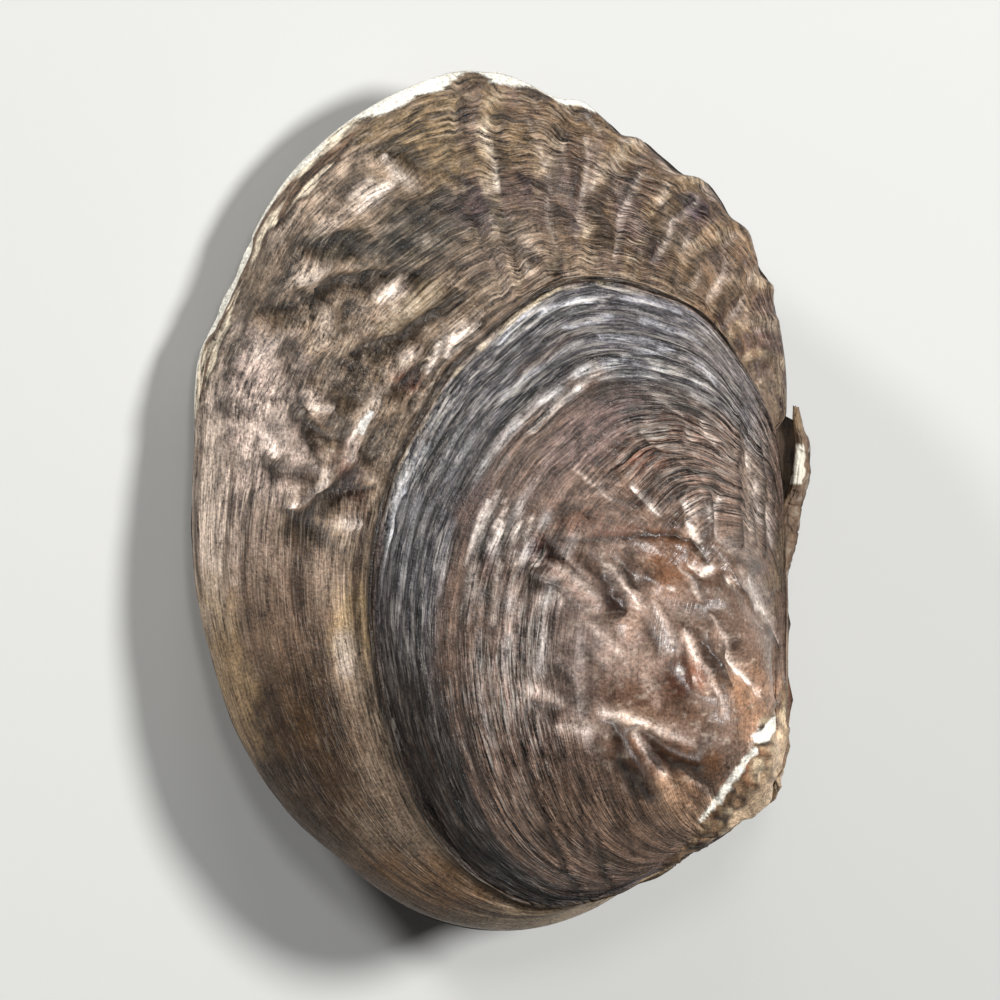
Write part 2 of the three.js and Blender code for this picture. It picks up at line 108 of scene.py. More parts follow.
# Sharper crests and hollows, each along a bowed line: x1, y1, x2, y2, width, height, bow, paleness (above 0 a
# painted highlight, below 0 painted shade)
brimStrokes = [
    (-21, 25.6, -19.3, 27, 0.25, 0.2, 0, 0.8), (-19.6, 28, -18.6, 27.1, 0.2, 0.18, 0, 0.7),
    (-21.2, 26.2, -20.2, 27, 0.2, 0.1, 0, 0.5), (-23.8, 22, -22.5, 22.8, 0.25, 0.18, 0, 0.5),
    (-19.7, 21.1, -18.6, 22, 0.29, 0.2, 0, 0.7), (-25.9, 18.3, -24.8, 19.4, 0.34, 0.12, 0, 0.4),
    (-17.3, 17.5, -16.8, 18.9, 0.17, 0.2, 0, 0.9), (-16.5, 18.3, -16.1, 19.4, 0.17, 0.2, 0, 0.9),
    (-16.1, 19.1, -14.9, 19.9, 0.22, 0.22, 0, 1), (-18.6, 18.2, -17.8, 18.7, 0.2, 0.14, 0, 0.6),
    (-21.2, 13.3, -20.4, 15.6, 0.2, 0.24, 0.2, 0.8), (-20.4, 15.6, -19.5, 16.6, 0.2, 0.18, 0, 0.5),
    (-21.8, 12.8, -21.2, 15, 0.15, -0.14, 0.2, -0.5), (-20.7, 13.5, -20, 15.3, 0.15, -0.12, 0.2, -0.4),
    (-23.1, 15.9, -22.1, 15.8, 0.2, 0.18, 0, 0.9), (-23.9, 11, -22.5, 12.1, 0.22, 0.18, 0, 0.8),
    (-22.5, 12.1, -22.2, 12.9, 0.2, 0.24, 0, 0.7), (-21.7, 10.2, -20.7, 10.1, 0.25, 0.18, 0, 0.6),
    (-25.6, 14.7, -24.9, 13.2, 0.25, 0.18, 0.2, 0.5), (-23.7, 14.2, -22.8, 12.8, 0.25, 0.1, 0, 0.3),
    (-23.6, 16.4, -23.4, 15.2, 0.2, -0.28, -0.1, -0.8), (-23.4, 15.2, -22.3, 14.4, 0.25, -0.28, -0.1, -0.8),
    (-25.2, 13.4, -24.5, 12.6, 0.2, -0.26, 0, -0.8), (-22.7, 11.5, -20, 11.9, 0.2, -0.2, 0, -0.7),
    (-22, 11.9, -20.8, 12.8, 0.29, -0.1, 0, -0.5), (-24.3, 10.9, -22.8, 9.8, 0.2, -0.22, 0, -0.7),
    (-23, 23.6, -21.8, 24.3, 0.39, -0.18, 0, -0.6), (-23.1, 20.2, -22.6, 21.4, 0.2, -0.2, 0.2, -0.7),
    (-22.6, 21.4, -19.5, 22.2, 0.2, -0.2, 0.3, -0.7), (-19.5, 22.2, -17.8, 22.2, 0.2, -0.14, 0.1, -0.5),
    (-25.7, 20.5, -24, 20.7, 0.29, -0.16, 0, -0.4), (-21, 18.3, -18.7, 19.1, 0.2, -0.22, 0.1, -0.7),
    (-18.7, 19.1, -16, 21, 0.2, -0.22, 0.1, -0.7), (-18.9, 16.8, -17.4, 17.8, 0.39, -0.18, 0, -0.6),
    (-16.3, 27, -15, 26.4, 0.25, -0.14, 0, -0.8), (-16.1, 25.3, -15, 24.9, 0.2, -0.12, 0, -0.7),
    (-13.1, 27.1, -11.9, 26.5, 0.2, -0.14, 0, -0.8), (-16.4, 24.1, -15.4, 23.7, 0.2, -0.12, 0, -0.6),
    (-17.3, 25.8, -16.5, 25.3, 0.2, -0.1, 0, -0.5), (-14.7, 29.5, -14.1, 26.3, 0.15, 0.12, 0.1, 0.7),
    (-12.5, 30, -11.4, 26.1, 0.15, 0.1, 0.1, 0.35), (-9.6, 28.8, -9.8, 26.3, 0.2, 0.14, 0.1, 0.5),
    (-9.8, 26.3, -10.2, 24.1, 0.15, 0.1, 0, 0.35), (-6.9, 27.3, -7.9, 25.2, 0.17, 0.16, -0.1, 0.6),
    (-7.9, 25.2, -8.2, 22.9, 0.17, 0.14, -0.1, 0.55), (-4.2, 26, -5.5, 24.7, 0.17, 0.18, 0.1, 0.8),
    (-5.5, 24.7, -6.4, 22.9, 0.2, 0.16, 0.1, 0.6), (-2.8, 22.9, -3.7, 20.9, 0.2, 0.14, 0.1, 0.55),
    (-2.1, 21.1, -3.1, 19.6, 0.2, 0.12, 0.1, 0.45), (-15.7, 30.3, -15.7, 29.6, 0.2, -0.12, 0, -0.7),
    (-15.4, 28.5, -14.9, 27.8, 0.2, -0.1, 0, -0.6), (-13.1, 30, -12.3, 30, 0.15, -0.08, 0, -0.6),
    (-13, 27.2, -12.2, 26.1, 0.2, -0.14, 0, -0.8), (-11.2, 25.5, -10.1, 24.5, 0.29, -0.12, 0, -0.55),
    (-9.3, 25.3, -8.6, 23.8, 0.39, -0.14, 0, -0.6), (-7, 27.3, -7.9, 26, 0.2, -0.14, 0, -0.5),
    (-4.8, 25.9, -3.7, 25.2, 0.25, -0.12, 0, -0.8), (-12.3, 23, -10.9, 22.2, 0.29, -0.14, 0, -0.6),
    (-10.2, 27.5, -10.4, 26, 0.25, -0.12, 0, -0.5), (-14.9, 18.6, -13.9, 19.6, 0.15, 0.12, 0, 0.5),
    (-11.7, 26, -11.3, 23.8, 0.15, 0.1, 0, 0.35), (-10.9, 29, -10.7, 27.3, 0.15, 0.1, 0, 0.4),
    (-9, 27.7, -9.4, 26.5, 0.15, 0.08, 0, 0.4), (-5.6, 26.8, -6, 25.8, 0.15, 0.1, 0, 0.5),
    (-4.6, 24.3, -4.9, 23.6, 0.15, 0.1, 0, 0.5), (-2.4, 24.3, -3, 23.5, 0.15, 0.1, 0, 0.45),
    (-4.1, 22.6, -4.6, 21.5, 0.15, 0.1, 0, 0.4), (-1.3, 22.6, -1.9, 21.7, 0.15, 0.1, 0, 0.4),
    (-1.7, 19.4, -0.9, 19.6, 0.15, 0.1, 0, 0.35), (-8, 29, -7, 28.5, 0.15, 0.08, 0, 0.5),
    (-4.1, 26.5, -3, 25.8, 0.15, 0.08, 0, 0.5), (-6.3, 28, -5.3, 27.4, 0.15, 0.08, 0, 0.45),
    (-9.7, 30, -9, 29.2, 0.15, 0.08, 0, 0.4), (-3.1, 21.1, -3.5, 19.9, 0.15, -0.1, 0, -0.5),
    (-5.2, 23, -5.5, 21.8, 0.2, -0.12, 0, -0.5), (-7.2, 23.6, -7.5, 22.1, 0.2, -0.12, 0, -0.5),
    (-4.1, 24.5, -4.6, 24, 0.2, -0.1, 0, -0.5), (-2, 23, -2.5, 21.8, 0.2, -0.12, 0, -0.45),
    (-1.1, 21.1, -1.6, 20.4, 0.15, -0.1, 0, -0.45), (-10.9, 23.6, -11.1, 22.3, 0.2, -0.1, 0, -0.4),
    (-8.5, 27, -9, 25.5, 0.2, -0.12, 0, -0.5), (-5.6, 26, -6.3, 24.8, 0.2, -0.12, 0, -0.5),
    (-13.9, 25.3, -13.4, 24.1, 0.2, -0.12, 0, -0.5), (-11.7, 30, -10.9, 29.2, 0.15, -0.08, 0, -0.4),
    (-14.9, 26, -13.9, 25.3, 0.25, -0.1, 0, -0.5),
]
# The same on the older shell
domeStrokes = [
    (-7.4, 12.1, -6.1, 10.8, 0.17, 0.14, 0, 0.9), (-4.9, 11.3, -4.4, 10.8, 0.25, 0.12, 0, 0.8),
    (-4, 11, -3.8, 10.3, 0.15, 0.12, 0, 0.8), (-3.1, 11.5, -3.3, 10.6, 0.15, 0.12, 0, 0.9),
    (-4.6, 10.5, -4.2, 9.4, 0.17, 0.14, 0, 0.9), (-3.5, 10.5, -3.4, 9.7, 0.15, 0.1, 0, 0.6),
    (-3.3, 9.6, -2.5, 8.9, 0.29, 0.08, 0, 0.35), (-10.9, 9.4, -7.9, 9.5, 0.15, -0.1, -0.1, -0.5),
    (-7.9, 9.5, -4.6, 9.5, 0.15, -0.14, 0.2, -0.7), (-4.6, 9.5, -3.5, 8.2, 0.17, -0.18, 0.1, -0.8),
    (-4.5, 8.3, -4.1, 8.2, 0.2, 0.12, 0, 0.8), (-4, 7.8, -3.4, 8.2, 0.25, 0.14, 0, 1),
    (-2.8, 7.6, -2.7, 7.4, 0.15, 0.1, 0, 0.8), (-5.7, 7.1, -5.5, 7, 0.15, 0.06, 0, 0.6),
    (-5, 8.2, -4.3, 6.5, 0.15, 0.16, 0.1, 0.5), (-8.7, 8.3, -7, 6.2, 0.29, 0.2, 0, 0.4),
    (-10.9, 8.2, -9.1, 6.5, 0.29, 0.2, 0, 0.4), (-7.8, 7.9, -7.3, 7.1, 0.2, -0.2, 0, -0.6),
    (-8.5, 6.6, -8, 6, 0.29, -0.22, 0, -0.8), (-9.7, 8.3, -8.8, 7.3, 0.25, -0.14, 0, -0.4),
    (-12.2, 8.2, -11.8, 8.9, 0.2, 0.22, 0.1, 1), (-11.5, 9.3, -10.8, 8.4, 0.25, -0.28, 0, -0.9),
    (-4.8, 5, -4.3, 3.6, 0.17, 0.26, 0, 1), (-4.3, 3.8, -3.3, 2, 0.15, 0.18, 0.1, 0.4),
    (-3.3, 2, -3.1, 0.9, 0.15, 0.1, 0, 0.3), (-4.8, 5.2, -5.3, 3.8, 0.15, 0.1, -0.1, 0.3),
    (-5.4, 3.3, -5.2, 3, 0.12, 0.06, 0, 1), (-4.5, 2.8, -4.4, 2.6, 0.12, 0.06, 0, 0.9),
    (-5.7, 4.1, -5.6, 3.8, 0.12, 0.06, 0, 0.7), (-3.7, 5.8, -2.5, 3.8, 0.2, 0.2, 0.1, 0.35),
    (-2.5, 3.8, -1.5, 2.6, 0.22, 0.2, 0, 1), (-1.5, 2.6, -1.1, 1.9, 0.15, 0.12, 0, 0.6),
    (-4.1, 4.4, -2.8, 2.5, 0.2, -0.16, 0.1, -0.3), (-2.5, 7.9, -0.4, 4.1, 0.15, -0.14, 0, -0.5),
    (-1.6, 7.7, -0.8, 5.9, 0.2, 0.16, 0, 0.8), (-2.2, 8.2, -1.1, 6.1, 0.17, 0.12, 0, 0.3),
    (-0.8, 5.8, -0.4, 4.4, 0.15, 0.1, 0, 0.5), (-2.4, 15.4, -2.3, 9.1, 0.17, -0.16, 0, -0.5),
    (-1.3, 14.2, -1.1, 8.5, 0.15, -0.12, 0, -0.45), (-1.8, 14.7, -1.7, 9.3, 0.15, 0.1, 0, 0.2),
    (-0.7, 12.8, -0.7, 6.4, 0.15, -0.1, 0, -0.4), (-9, 1.1, -6.8, 0.5, 0.29, 0.24, 0.1, 0.8),
    (-6.8, 0.5, -4.6, -0.4, 0.25, 0.22, 0, 0.4), (-11.1, 0.4, -9.4, 0.1, 0.25, 0.14, 0, 0.5),
    (-7.4, 0, -5.8, -2.1, 0.2, 0.26, 0, 0.8), (-8.2, 0.1, -6.7, -2.6, 0.29, -0.22, 0, -0.6),
    (-6.5, -0.1, -4.4, -1.3, 0.29, -0.22, -0.1, -0.6), (-5.2, -1.7, -3.6, -3.1, 0.2, 0.2, 0, 0.4),
    (-5.6, -2.2, -4.1, -3.4, 0.2, -0.12, 0, -0.35), (-4.4, -2.6, -3.8, -2.9, 0.15, -0.12, 0, -0.6),
    (-13.1, 2, -11.2, 1.2, 0.25, -0.16, 0, -0.5), (-12.9, 2.5, -10.9, 1.6, 0.25, 0.12, 0, 0.3),
    (-11.2, 3.4, -10.4, 2.6, 0.25, -0.14, 0, -0.5), (-12.9, -0.2, -11.9, -3.3, 0.12, -0.14, 0, -0.8),
    (-11.9, -3.3, -10.7, -6.5, 0.15, -0.18, 0, -0.9), (-10.7, -6.5, -9.9, -7.6, 0.12, -0.12, 0, -0.7),
    (-9.2, -4.9, -8.8, -6.7, 0.12, -0.14, 0, -0.8), (-8.8, -6.7, -8.2, -7.4, 0.12, -0.1, 0, -0.6),
    (-13.9, 1.5, -13.3, -1.5, 0.12, -0.1, 0, -0.5), (-11.7, -1.5, -10.2, -5.9, 0.12, -0.1, 0, -0.45),
    (-10.2, -2.9, -9.5, -5.9, 0.12, -0.1, 0, -0.5), (-8, -3.4, -7.4, -5.9, 0.12, -0.08, 0, -0.45),
    (-17.4, 14, -18.6, 11.8, 0.2, 0.12, -0.1, 0.8), (-18.6, 11.8, -19.3, 9.5, 0.2, 0.12, -0.1, 0.7),
    (-13.9, 18.9, -11.7, 20.6, 0.25, 0.16, 0.2, 0.7), (-11.7, 20.6, -9.4, 21, 0.2, 0.14, 0.1, 0.6),
    (-12.4, 14.7, -10.2, 16.7, 0.2, 0.14, 0.1, 0.6), (-10.2, 16.7, -7.8, 18.2, 0.2, 0.14, 0.1, 0.5),
    (-7.8, 18.2, -5.5, 18.6, 0.2, 0.12, 0.1, 0.5), (-13.9, 11.8, -15.1, 8.7, 0.17, 0.12, -0.1, 1),
    (-15.1, 8.7, -15.7, 6, 0.15, 0.1, 0, 0.6), (-13.9, 10.3, -14.4, 8.8, 0.15, 0.1, 0, 0.7),
    (-12.9, 10.3, -13.4, 9.3, 0.15, 0.1, 0, 0.6), (-7, 14.2, -6.3, 13.5, 0.29, -0.12, 0, -0.4),
    (-5.3, 15.5, -4.6, 14.2, 0.2, 0.14, 0, 0.35), (-6.3, 16.4, -5.5, 15.5, 0.25, 0.12, 0, 0.3),
    (-9, 15.2, -7, 15.7, 0.2, -0.1, 0.1, -0.35), (-10.2, 12.8, -8.5, 11.3, 0.2, 0.1, 0, 0.3),
    (-10.9, 11, -9.5, 10.6, 0.25, -0.12, 0, -0.5), (-6.5, 6.4, -5.6, 4.4, 0.2, 0.12, 0.1, 0.3),
    (-7, 5.6, -6.3, 3.9, 0.2, -0.1, 0.1, -0.25), (-9.5, 5.4, -8, 3.9, 0.25, 0.12, 0, 0.3),
    (-10, 4.4, -9, 3.2, 0.25, -0.1, 0, -0.3), (-7, 2.9, -6.3, 1.5, 0.25, 0.1, 0, 0.25),
    (-2, 14.2, -1.7, 12.7, 0.15, 0.12, 0, 0.5), (-1.5, 12.4, -1.3, 10.2, 0.15, 0.12, 0, 0.55),
    (-0.9, 11, -0.7, 8.9, 0.15, 0.1, 0, 0.5), (-1.3, 13.7, -1, 11.3, 0.12, -0.14, 0, -0.7),
    (-0.9, 14.2, -0.6, 11, 0.12, -0.12, 0, -0.7), (-0.5, 10.3, -0.3, 6.9, 0.15, -0.12, 0, -0.7),
    (-1.7, 11.3, -1.5, 9.1, 0.12, -0.1, 0, -0.6), (-1.2, 10.3, -0.9, 8.3, 0.15, -0.12, 0, -0.6),
    (-4.1, 15, -3.5, 14, 0.2, 0.12, 0, 0.4), (-6, 15, -4.6, 14.6, 0.2, -0.12, 0.1, -0.5),
    (-4.6, 16.4, -3.8, 16, 0.2, 0.1, 0, 0.35), (-3.3, 13.5, -2.6, 13.2, 0.12, 0.08, 0, 0.4),
    (-3.5, 12.8, -2.6, 12.5, 0.12, 0.08, 0, 0.4), (-3.7, 12.3, -2.7, 12, 0.12, -0.08, 0, -0.4),
    (-6.3, 13.5, -4.6, 12.5, 0.25, -0.1, 0, -0.35), (-4.1, 14.2, -2.7, 13.9, 0.12, -0.08, 0, -0.4),
    (-14.5, 11.3, -15.5, 8.3, 0.12, 0.08, 0, 0.9), (-13.6, 11.3, -14.1, 8.3, 0.12, 0.08, 0, 0.8),
    (-12.9, 11.3, -13.3, 8.3, 0.12, 0.08, 0, 0.5), (-12.4, 10.6, -12.9, 7.9, 0.12, 0.08, 0, 0.45),
    (-15, 8.3, -15.4, 5.4, 0.12, 0.08, 0, 0.5), (-13.9, 8.3, -14.3, 5.4, 0.12, 0.08, 0, 0.45),
    (-14, 11.3, -14.8, 8.3, 0.12, -0.08, 0, -0.5), (-13.3, 11.3, -13.7, 8.3, 0.12, -0.08, 0, -0.45),
    (-11.7, 7.6, -10.9, 6.4, 0.25, 0.1, 0, 0.4), (-12.1, 6.9, -11.9, 4.4, 0.15, 0.06, 0, 0.35),
    (-12.9, 6.4, -13.2, 3.4, 0.15, 0.06, 0, 0.3), (-16.1, 10.3, -16.8, 6.9, 0.15, 0.08, -0.1, 0.45),
    (-16.8, 11.3, -17.8, 8.3, 0.15, -0.08, -0.1, -0.5), (-10.9, 19.6, -8.5, 20.2, 0.15, 0.1, 0, 0.5),
    (-9, 19.1, -6, 18.9, 0.15, 0.1, 0.1, 0.5), (-7, 20.1, -4.1, 18.9, 0.15, 0.1, 0.1, 0.4),
    (-4.6, 18.2, -3.3, 16.9, 0.2, 0.12, 0.1, 0.5), (-9.5, 18.2, -10.9, 17.3, 0.15, -0.1, 0, -0.6),
    (-12.9, 17.7, -10.9, 19.4, 0.15, -0.1, 0.1, -0.6), (-14.9, 14.7, -12.9, 17.4, 0.15, -0.1, 0.1, -0.6),
    (-13.9, 16.2, -11.9, 17.9, 0.15, 0.1, 0.1, 0.4), (-8, 21.1, -5.1, 20.4, 0.15, 0.08, 0.1, 0.4),
    (-11.9, 18.9, -9.5, 20, 0.15, -0.1, 0.1, -0.5),
]

# Raised lines left by short pauses: stage, width, height, first and last outline point
growthRidges = [
    (0.696, 0.0035, 0.14, 13.5, 19), (0.684, 0.003, 0.08, 12, 20), (0.607, 0.006, 0.22, 14.2, 20.8),
    (0.617, 0.004, -0.18, 15, 21.2), (0.59, 0.004, 0.1, 14.5, 20), (0.703, 0.003, 0.14, 11.6, 14.8),
    (0.66, 0.004, 0.09, 10, 16), (0.64, 0.004, 0.08, 9.5, 18), (0.52, 0.006, 0.14, 10.5, 14.5),
    (0.485, 0.006, 0.14, 10, 14), (0.5, 0.004, -0.1, 10.5, 14), (0.55, 0.005, 0.1, 9, 15),
    (0.57, 0.004, -0.08, 8.5, 16), (0.45, 0.005, 0.08, 8.5, 12), (0.42, 0.004, -0.08, 7, 10.5),
    (0.735, 0.004, -0.12, 14, 17),
]

# How far in the outermost layer has chipped off to white: outline point, mm
chipWidths = [
    (0, 0), (4, 0), (4.3, 0.06), (5.6, 0), (12.2, 0), (12.6, 0.12), (13.6, 0.18), (14.6, 0.12), (15.2, 0.22),
    (15.5, 0.3), (15.62, 0.05), (15.9, 0.08), (16.05, 0.4), (16.45, 0.62), (16.85, 0.4), (17, 0.05),
    (17.15, 0.06), (17.3, 0.42), (17.55, 0.28), (17.68, 0.04), (17.86, 0.05), (18, 0.26), (18.25, 0.2),
    (18.4, 0), (26, 0),
]


# An eased step from 0 at low to 1 at high: 3 s^2 - 2 s^3 of the share s between them
def smooth(low, high, value):
    share = np.clip((value - low) / (high - low), 0, 1)
    return share * share * (3 - 2 * share)


# A share that rises from a to b and falls again from c to d
def window(value, a, b, c, d):
    return smooth(a, b, value) * (1 - smooth(c, d, value))


# A bump that falls off as exp(-(offset / width) ^ 2)
def bell(offset, width):
    return np.exp(-(offset / width) ** 2)


def mix(a, b, share):
    return a + (b - a) * share


# A smooth curve through points: between two of them the cubic whose slopes follow the points beside them
def curveAt(points, t, closed=False):
    p = np.asarray(points, float)
    spans = len(p) if closed else len(p) - 1
    x = (t % 1.0) * spans if closed else np.clip(t, 0, 1) * spans
    start = np.minimum(np.floor(x).astype(int), spans - 1)
    u = (x - start)[..., None]
    if closed:
        a, b, c, d = (p[(start + k) % len(p)] for k in (-1, 0, 1, 2))
    else:
        ends = np.vstack([2 * p[0] - p[1], p, 2 * p[-1] - p[-2]])
        a, b, c, d = (ends[start + k] for k in (0, 1, 2, 3))
    square, cube = 2 * a - 5 * b + 4 * c - d, 3 * b - a - 3 * c + d
    return 0.5 * (2 * b + (c - a) * u + square * u ** 2 + cube * u ** 3)


# An outline as shares: x of its farthest reach, y of the way from the front end to the rear end
def shareOutline(points):
    p = np.asarray(points, float)
    along = (p[:, 1] - p[:, 1].min()) / np.ptp(p[:, 1])
    return np.stack([p[:, 0] / p[:, 0].min(), along], -1)


marginShares = shareOutline(marginOutline)
restShares = shareOutline(restOutline)


# Soft random relief: random heights on a lattice, joined by smooth steps. The second way may close on itself.
def softNoise(u, v, seed, closeAt=256):
    lattice = np.random.default_rng(seed).uniform(-1, 1, (256, 256))
    i, j = np.floor(u).astype(int), np.floor(v).astype(int)
    fu, fv = smooth(0, 1, u - i), smooth(0, 1, v - j)
    i0, i1 = i % 256, (i + 1) % 256
    j0, j1 = j % closeAt, (j + 1) % closeAt
    return mix(mix(lattice[i0, j0], lattice[i1, j0], fu), mix(lattice[i0, j1], lattice[i1, j1], fu), fv)


# A place on the smooth valve. Each stage of growth is a ring hung between its hinge end and its lower end,
# and it turns from the older outline into the margin after the pause.
def valvePlace(stage, point):
    g = growth
    t = point / len(marginOutline)
    young = np.minimum(stage / g["restStage"], 1)
    old = np.maximum((stage - g["restStage"]) / (1 - g["restStage"]), 0)
    isYoung = (stage <= g["restStage"])[..., None]
    lower = np.where(isYoung, curveAt(lowerSideYoung, young), curveAt(lowerSideOld, old))
    hinge = np.where(isYoung, curveAt(hingeSideYoung, young), curveAt(hingeSideOld, old))
    share = mix(curveAt(restShares, t, True), curveAt(marginShares, t, True), old[..., None])
    across = np.clip(share[..., 0], -0.02, 1.02)
    bulge = 1 - np.sign(1 - across) * np.abs(1 - across) ** g["bulgePower"]
    tuck = 1 - g["frontTuck"] * (1 - smooth(0.25, 0.65, stage))
    front = -g["frontReach"] * stage ** g["frontPower"] * tuck
    y = front + share[..., 1] * (g["rearReach"] * stage ** g["rearPower"] - front)
    lip = g["rimLift"] * np.sqrt(1 - old ** 10) * np.minimum(stage / 0.3, 1)
    rounding = 1 - g["frontDrop"] * np.maximum(1 - share[..., 1] / 0.4, 0) ** 2
    z = g["valveGap"] / 2 + hinge[..., 1] + bulge * rounding * (lower[..., 1] - hinge[..., 1]) + lip
    groove = g["hingeRecess"] * window(y, 4, 6.5, 14, 15.5) * smooth(0.72, 1, stage)
    x = hinge[..., 0] + across * (lower[..., 0] - hinge[..., 0]) - groove * bell(across, 0.06)
    return np.stack([x, y, z], -1)


# Normal of a grid that closes on itself the second way round: the cross product of its two slopes
def gridNormal(grid):
    beside = np.roll(grid, -1, axis=1) - np.roll(grid, 1, axis=1)
    normal = np.cross(np.gradient(grid, axis=0), beside)
    return normal / np.maximum(np.linalg.norm(normal, axis=-1, keepdims=True), 1e-9)


# The ribs: a cosine of the share of the way from groove to groove, leaned by a sine of twice that
def ribShape(point):
    grooves = np.array(ribGrooves)
    k = np.clip(np.searchsorted(grooves, point, side="right") - 1, 0, len(grooves) - 2)
    middle = (point - grooves[k]) / (grooves[k + 1] - grooves[k]) - 0.5
    inside = (point >= grooves[0]) & (point < grooves[-1])
    return np.where(inside, 0.5 * np.cos(2 * np.pi * middle) + 0.15 * np.sin(4 * np.pi * middle), 0.0)


# Distance from a straight line between two places
def lineDistance(x, y, x1, y1, x2, y2):
    runX, runY = x2 - x1, y2 - y1
    near = np.clip(((x - x1) * runX + (y - y1) * runY) / (runX ** 2 + runY ** 2), 0, 1)
    return np.hypot(x - x1 - near * runX, y - y1 - near * runY)


# Sum of the lumps: each is its height times a bell of the distance from its line
def lumpLift(x, y, rows):
    return sum(height * bell(lineDistance(x, y, *ends), width) for *ends, width, height in rows)


# Sums over strokes of height, painted highlight and painted shade: each fades from its bowed line as
# exp(-(distance / width) ^ 1.5)
def strokeFields(x, y, rows):
    lift, pale, dark = np.zeros((3,) + x.shape)
    for x1, y1, x2, y2, width, height, bow, tone in rows:
        runX, runY = x2 - x1, y2 - y1
        length = math.hypot(runX, runY)
        along = ((x - x1) * runX + (y - y1) * runY) / length ** 2
        inside = np.clip(along, 0, 1)
        aside = ((y - y1) * runX - (x - x1) * runY) / length - bow * 4 * inside * (1 - inside)
        wide = width * (0.65 + 0.35 * np.sin(np.pi * inside))
        body = np.exp(-(np.hypot(aside, (along - inside) * length) / wide) ** 1.5)
        lift += height * body
        pale += max(tone, 0) * body
        dark += max(-tone, 0) * body
    return lift, np.clip(pale, 0, 1), np.clip(dark, 0, 1)


# Steps from low to high, closer together where the weights are larger
def spaced(count, low, high, weights):
    fine = np.linspace(low, high, 4000)
    total = np.concatenate([[0], np.cumsum(weights(fine)[1:])])
    return np.interp(np.linspace(0, total[-1], count), total, fine)


# Rings lie closer at the beak, the pause and the margin, and columns at the ribs and next to the beak
def stageWeights(stage):
    return 1 + 2.2 * bell(stage - 0.72, 0.016) + 1.6 * smooth(0.94, 0.99, stage) + 0.4 * (stage < 0.12)


def pointWeights(point):
    return 1 + 0.9 * window(point, 11.5, 13, 22.4, 23.5) + 0.3 * (point < 3)


# Mean over a square of the grid, which closes on itself the second way round
def blurred(values, reach):
    places = np.arange(len(values))
    for _ in range(2):
        steps = range(-reach // 2, reach // 2 + 1)
        values = sum(np.roll(values, k, axis=1) for k in steps) / (reach + 1)
        steps = range(-reach, reach + 1)
        values = sum(values[np.clip(places + k, 0, len(values) - 1)] for k in steps) / (2 * reach + 1)
    return values


# The step lies further in at the front, where the brim ends in a lip below the older shell
def frontShift(stage, point):
    return stage + 0.075 * window(point, 2.9, 3.6, 4.6, 5.8) * smooth(0.3, 0.6, stage)


# The worn beak: a bowed line from the beak to the front edge, heights in mm, and white lines as chains with
# a half width
beak = {
    "start": (-1.37, 0.74), "toFront": (-0.552, -0.834), "length": 8.9, "bow": 0.5, "wearDepth": 0.2,
    "knobHeight": 0.18, "lumpHeight": 0.14, "pitDepth": 0.08, "lipHeight": 0.06,
}
whiteLines = [
    ([(-1.7, -0.75), (-2.75, -2.2)], 0.15), ([(-2.85, -2.45), (-3.4, -3.2)], 0.17),
    ([(-3.4, -3.2), (-4.25, -4.15)], 0.1), ([(-1.45, -0.1), (-1.0, 0.1), (-0.75, 0.55)], 0.27),
    ([(-0.95, -4.2), (-1.3, -4.6)], 0.12), ([(-2.0, -5.2), (-2.3, -5.5)], 0.12),
    ([(-3.1, -6.0), (-3.4, -6.1)], 0.1),
]

# Colours as seen
skinColours = {
    "brim": (104, 89, 75), "band": (66, 64, 67), "bandDark": (33, 24, 18), "bandPale": (112, 110, 112),
    "bandWarm": (122, 110, 102), "dome": (98, 78, 66), "umbo": (139, 114, 98), "nacre": (236, 231, 217),
    "cream": (196, 178, 148), "crack": (48, 34, 26), "tan": (136, 118, 100), "frontLip": (168, 146, 120),
    "brimHighlight": (170, 156, 144), "strokeDark": (44, 32, 27), "strokePale": (222, 209, 198),
    "strokeSilverHighlight": (186, 187, 192), "ribShade": (58, 43, 46), "ribPale": (196, 176, 148),
    "ridge": (160, 158, 156), "glint": (204, 188, 170), "eroded": (116, 92, 68), "knobGap": (78, 52, 34),
    "beakPale": (160, 138, 108), "beakRust": (110, 72, 46), "beakRim": (190, 164, 134), "strip": (92, 72, 56),
    "sliver": (216, 200, 176), "inside": (214, 212, 206),
}
# Softly edged places: x, y, half length, half width, turn in degrees
softPlaces = {
    "bandLeft": (-18.7, 10.4, 1.1, 3.8, 8), "bandRear": (-3.4, 17.8, 1.6, 2.2, 30),
    "valley": (-5.6, -1.2, 3.4, 1.9, -15), "bigLump": (-5.4, 8.3, 2.4, 2.0, 0),
    "paleBrim": (-26.0, 13.0, 3.4, 8.0, 0), "paleOlder": (-13.5, 6.0, 2.6, 6.0, 10),
    "streaky": (-12.5, 0.0, 3.6, 7.0, 0), "wrinkled": (-4.6, 14.0, 3.2, 3.4, 0),
}
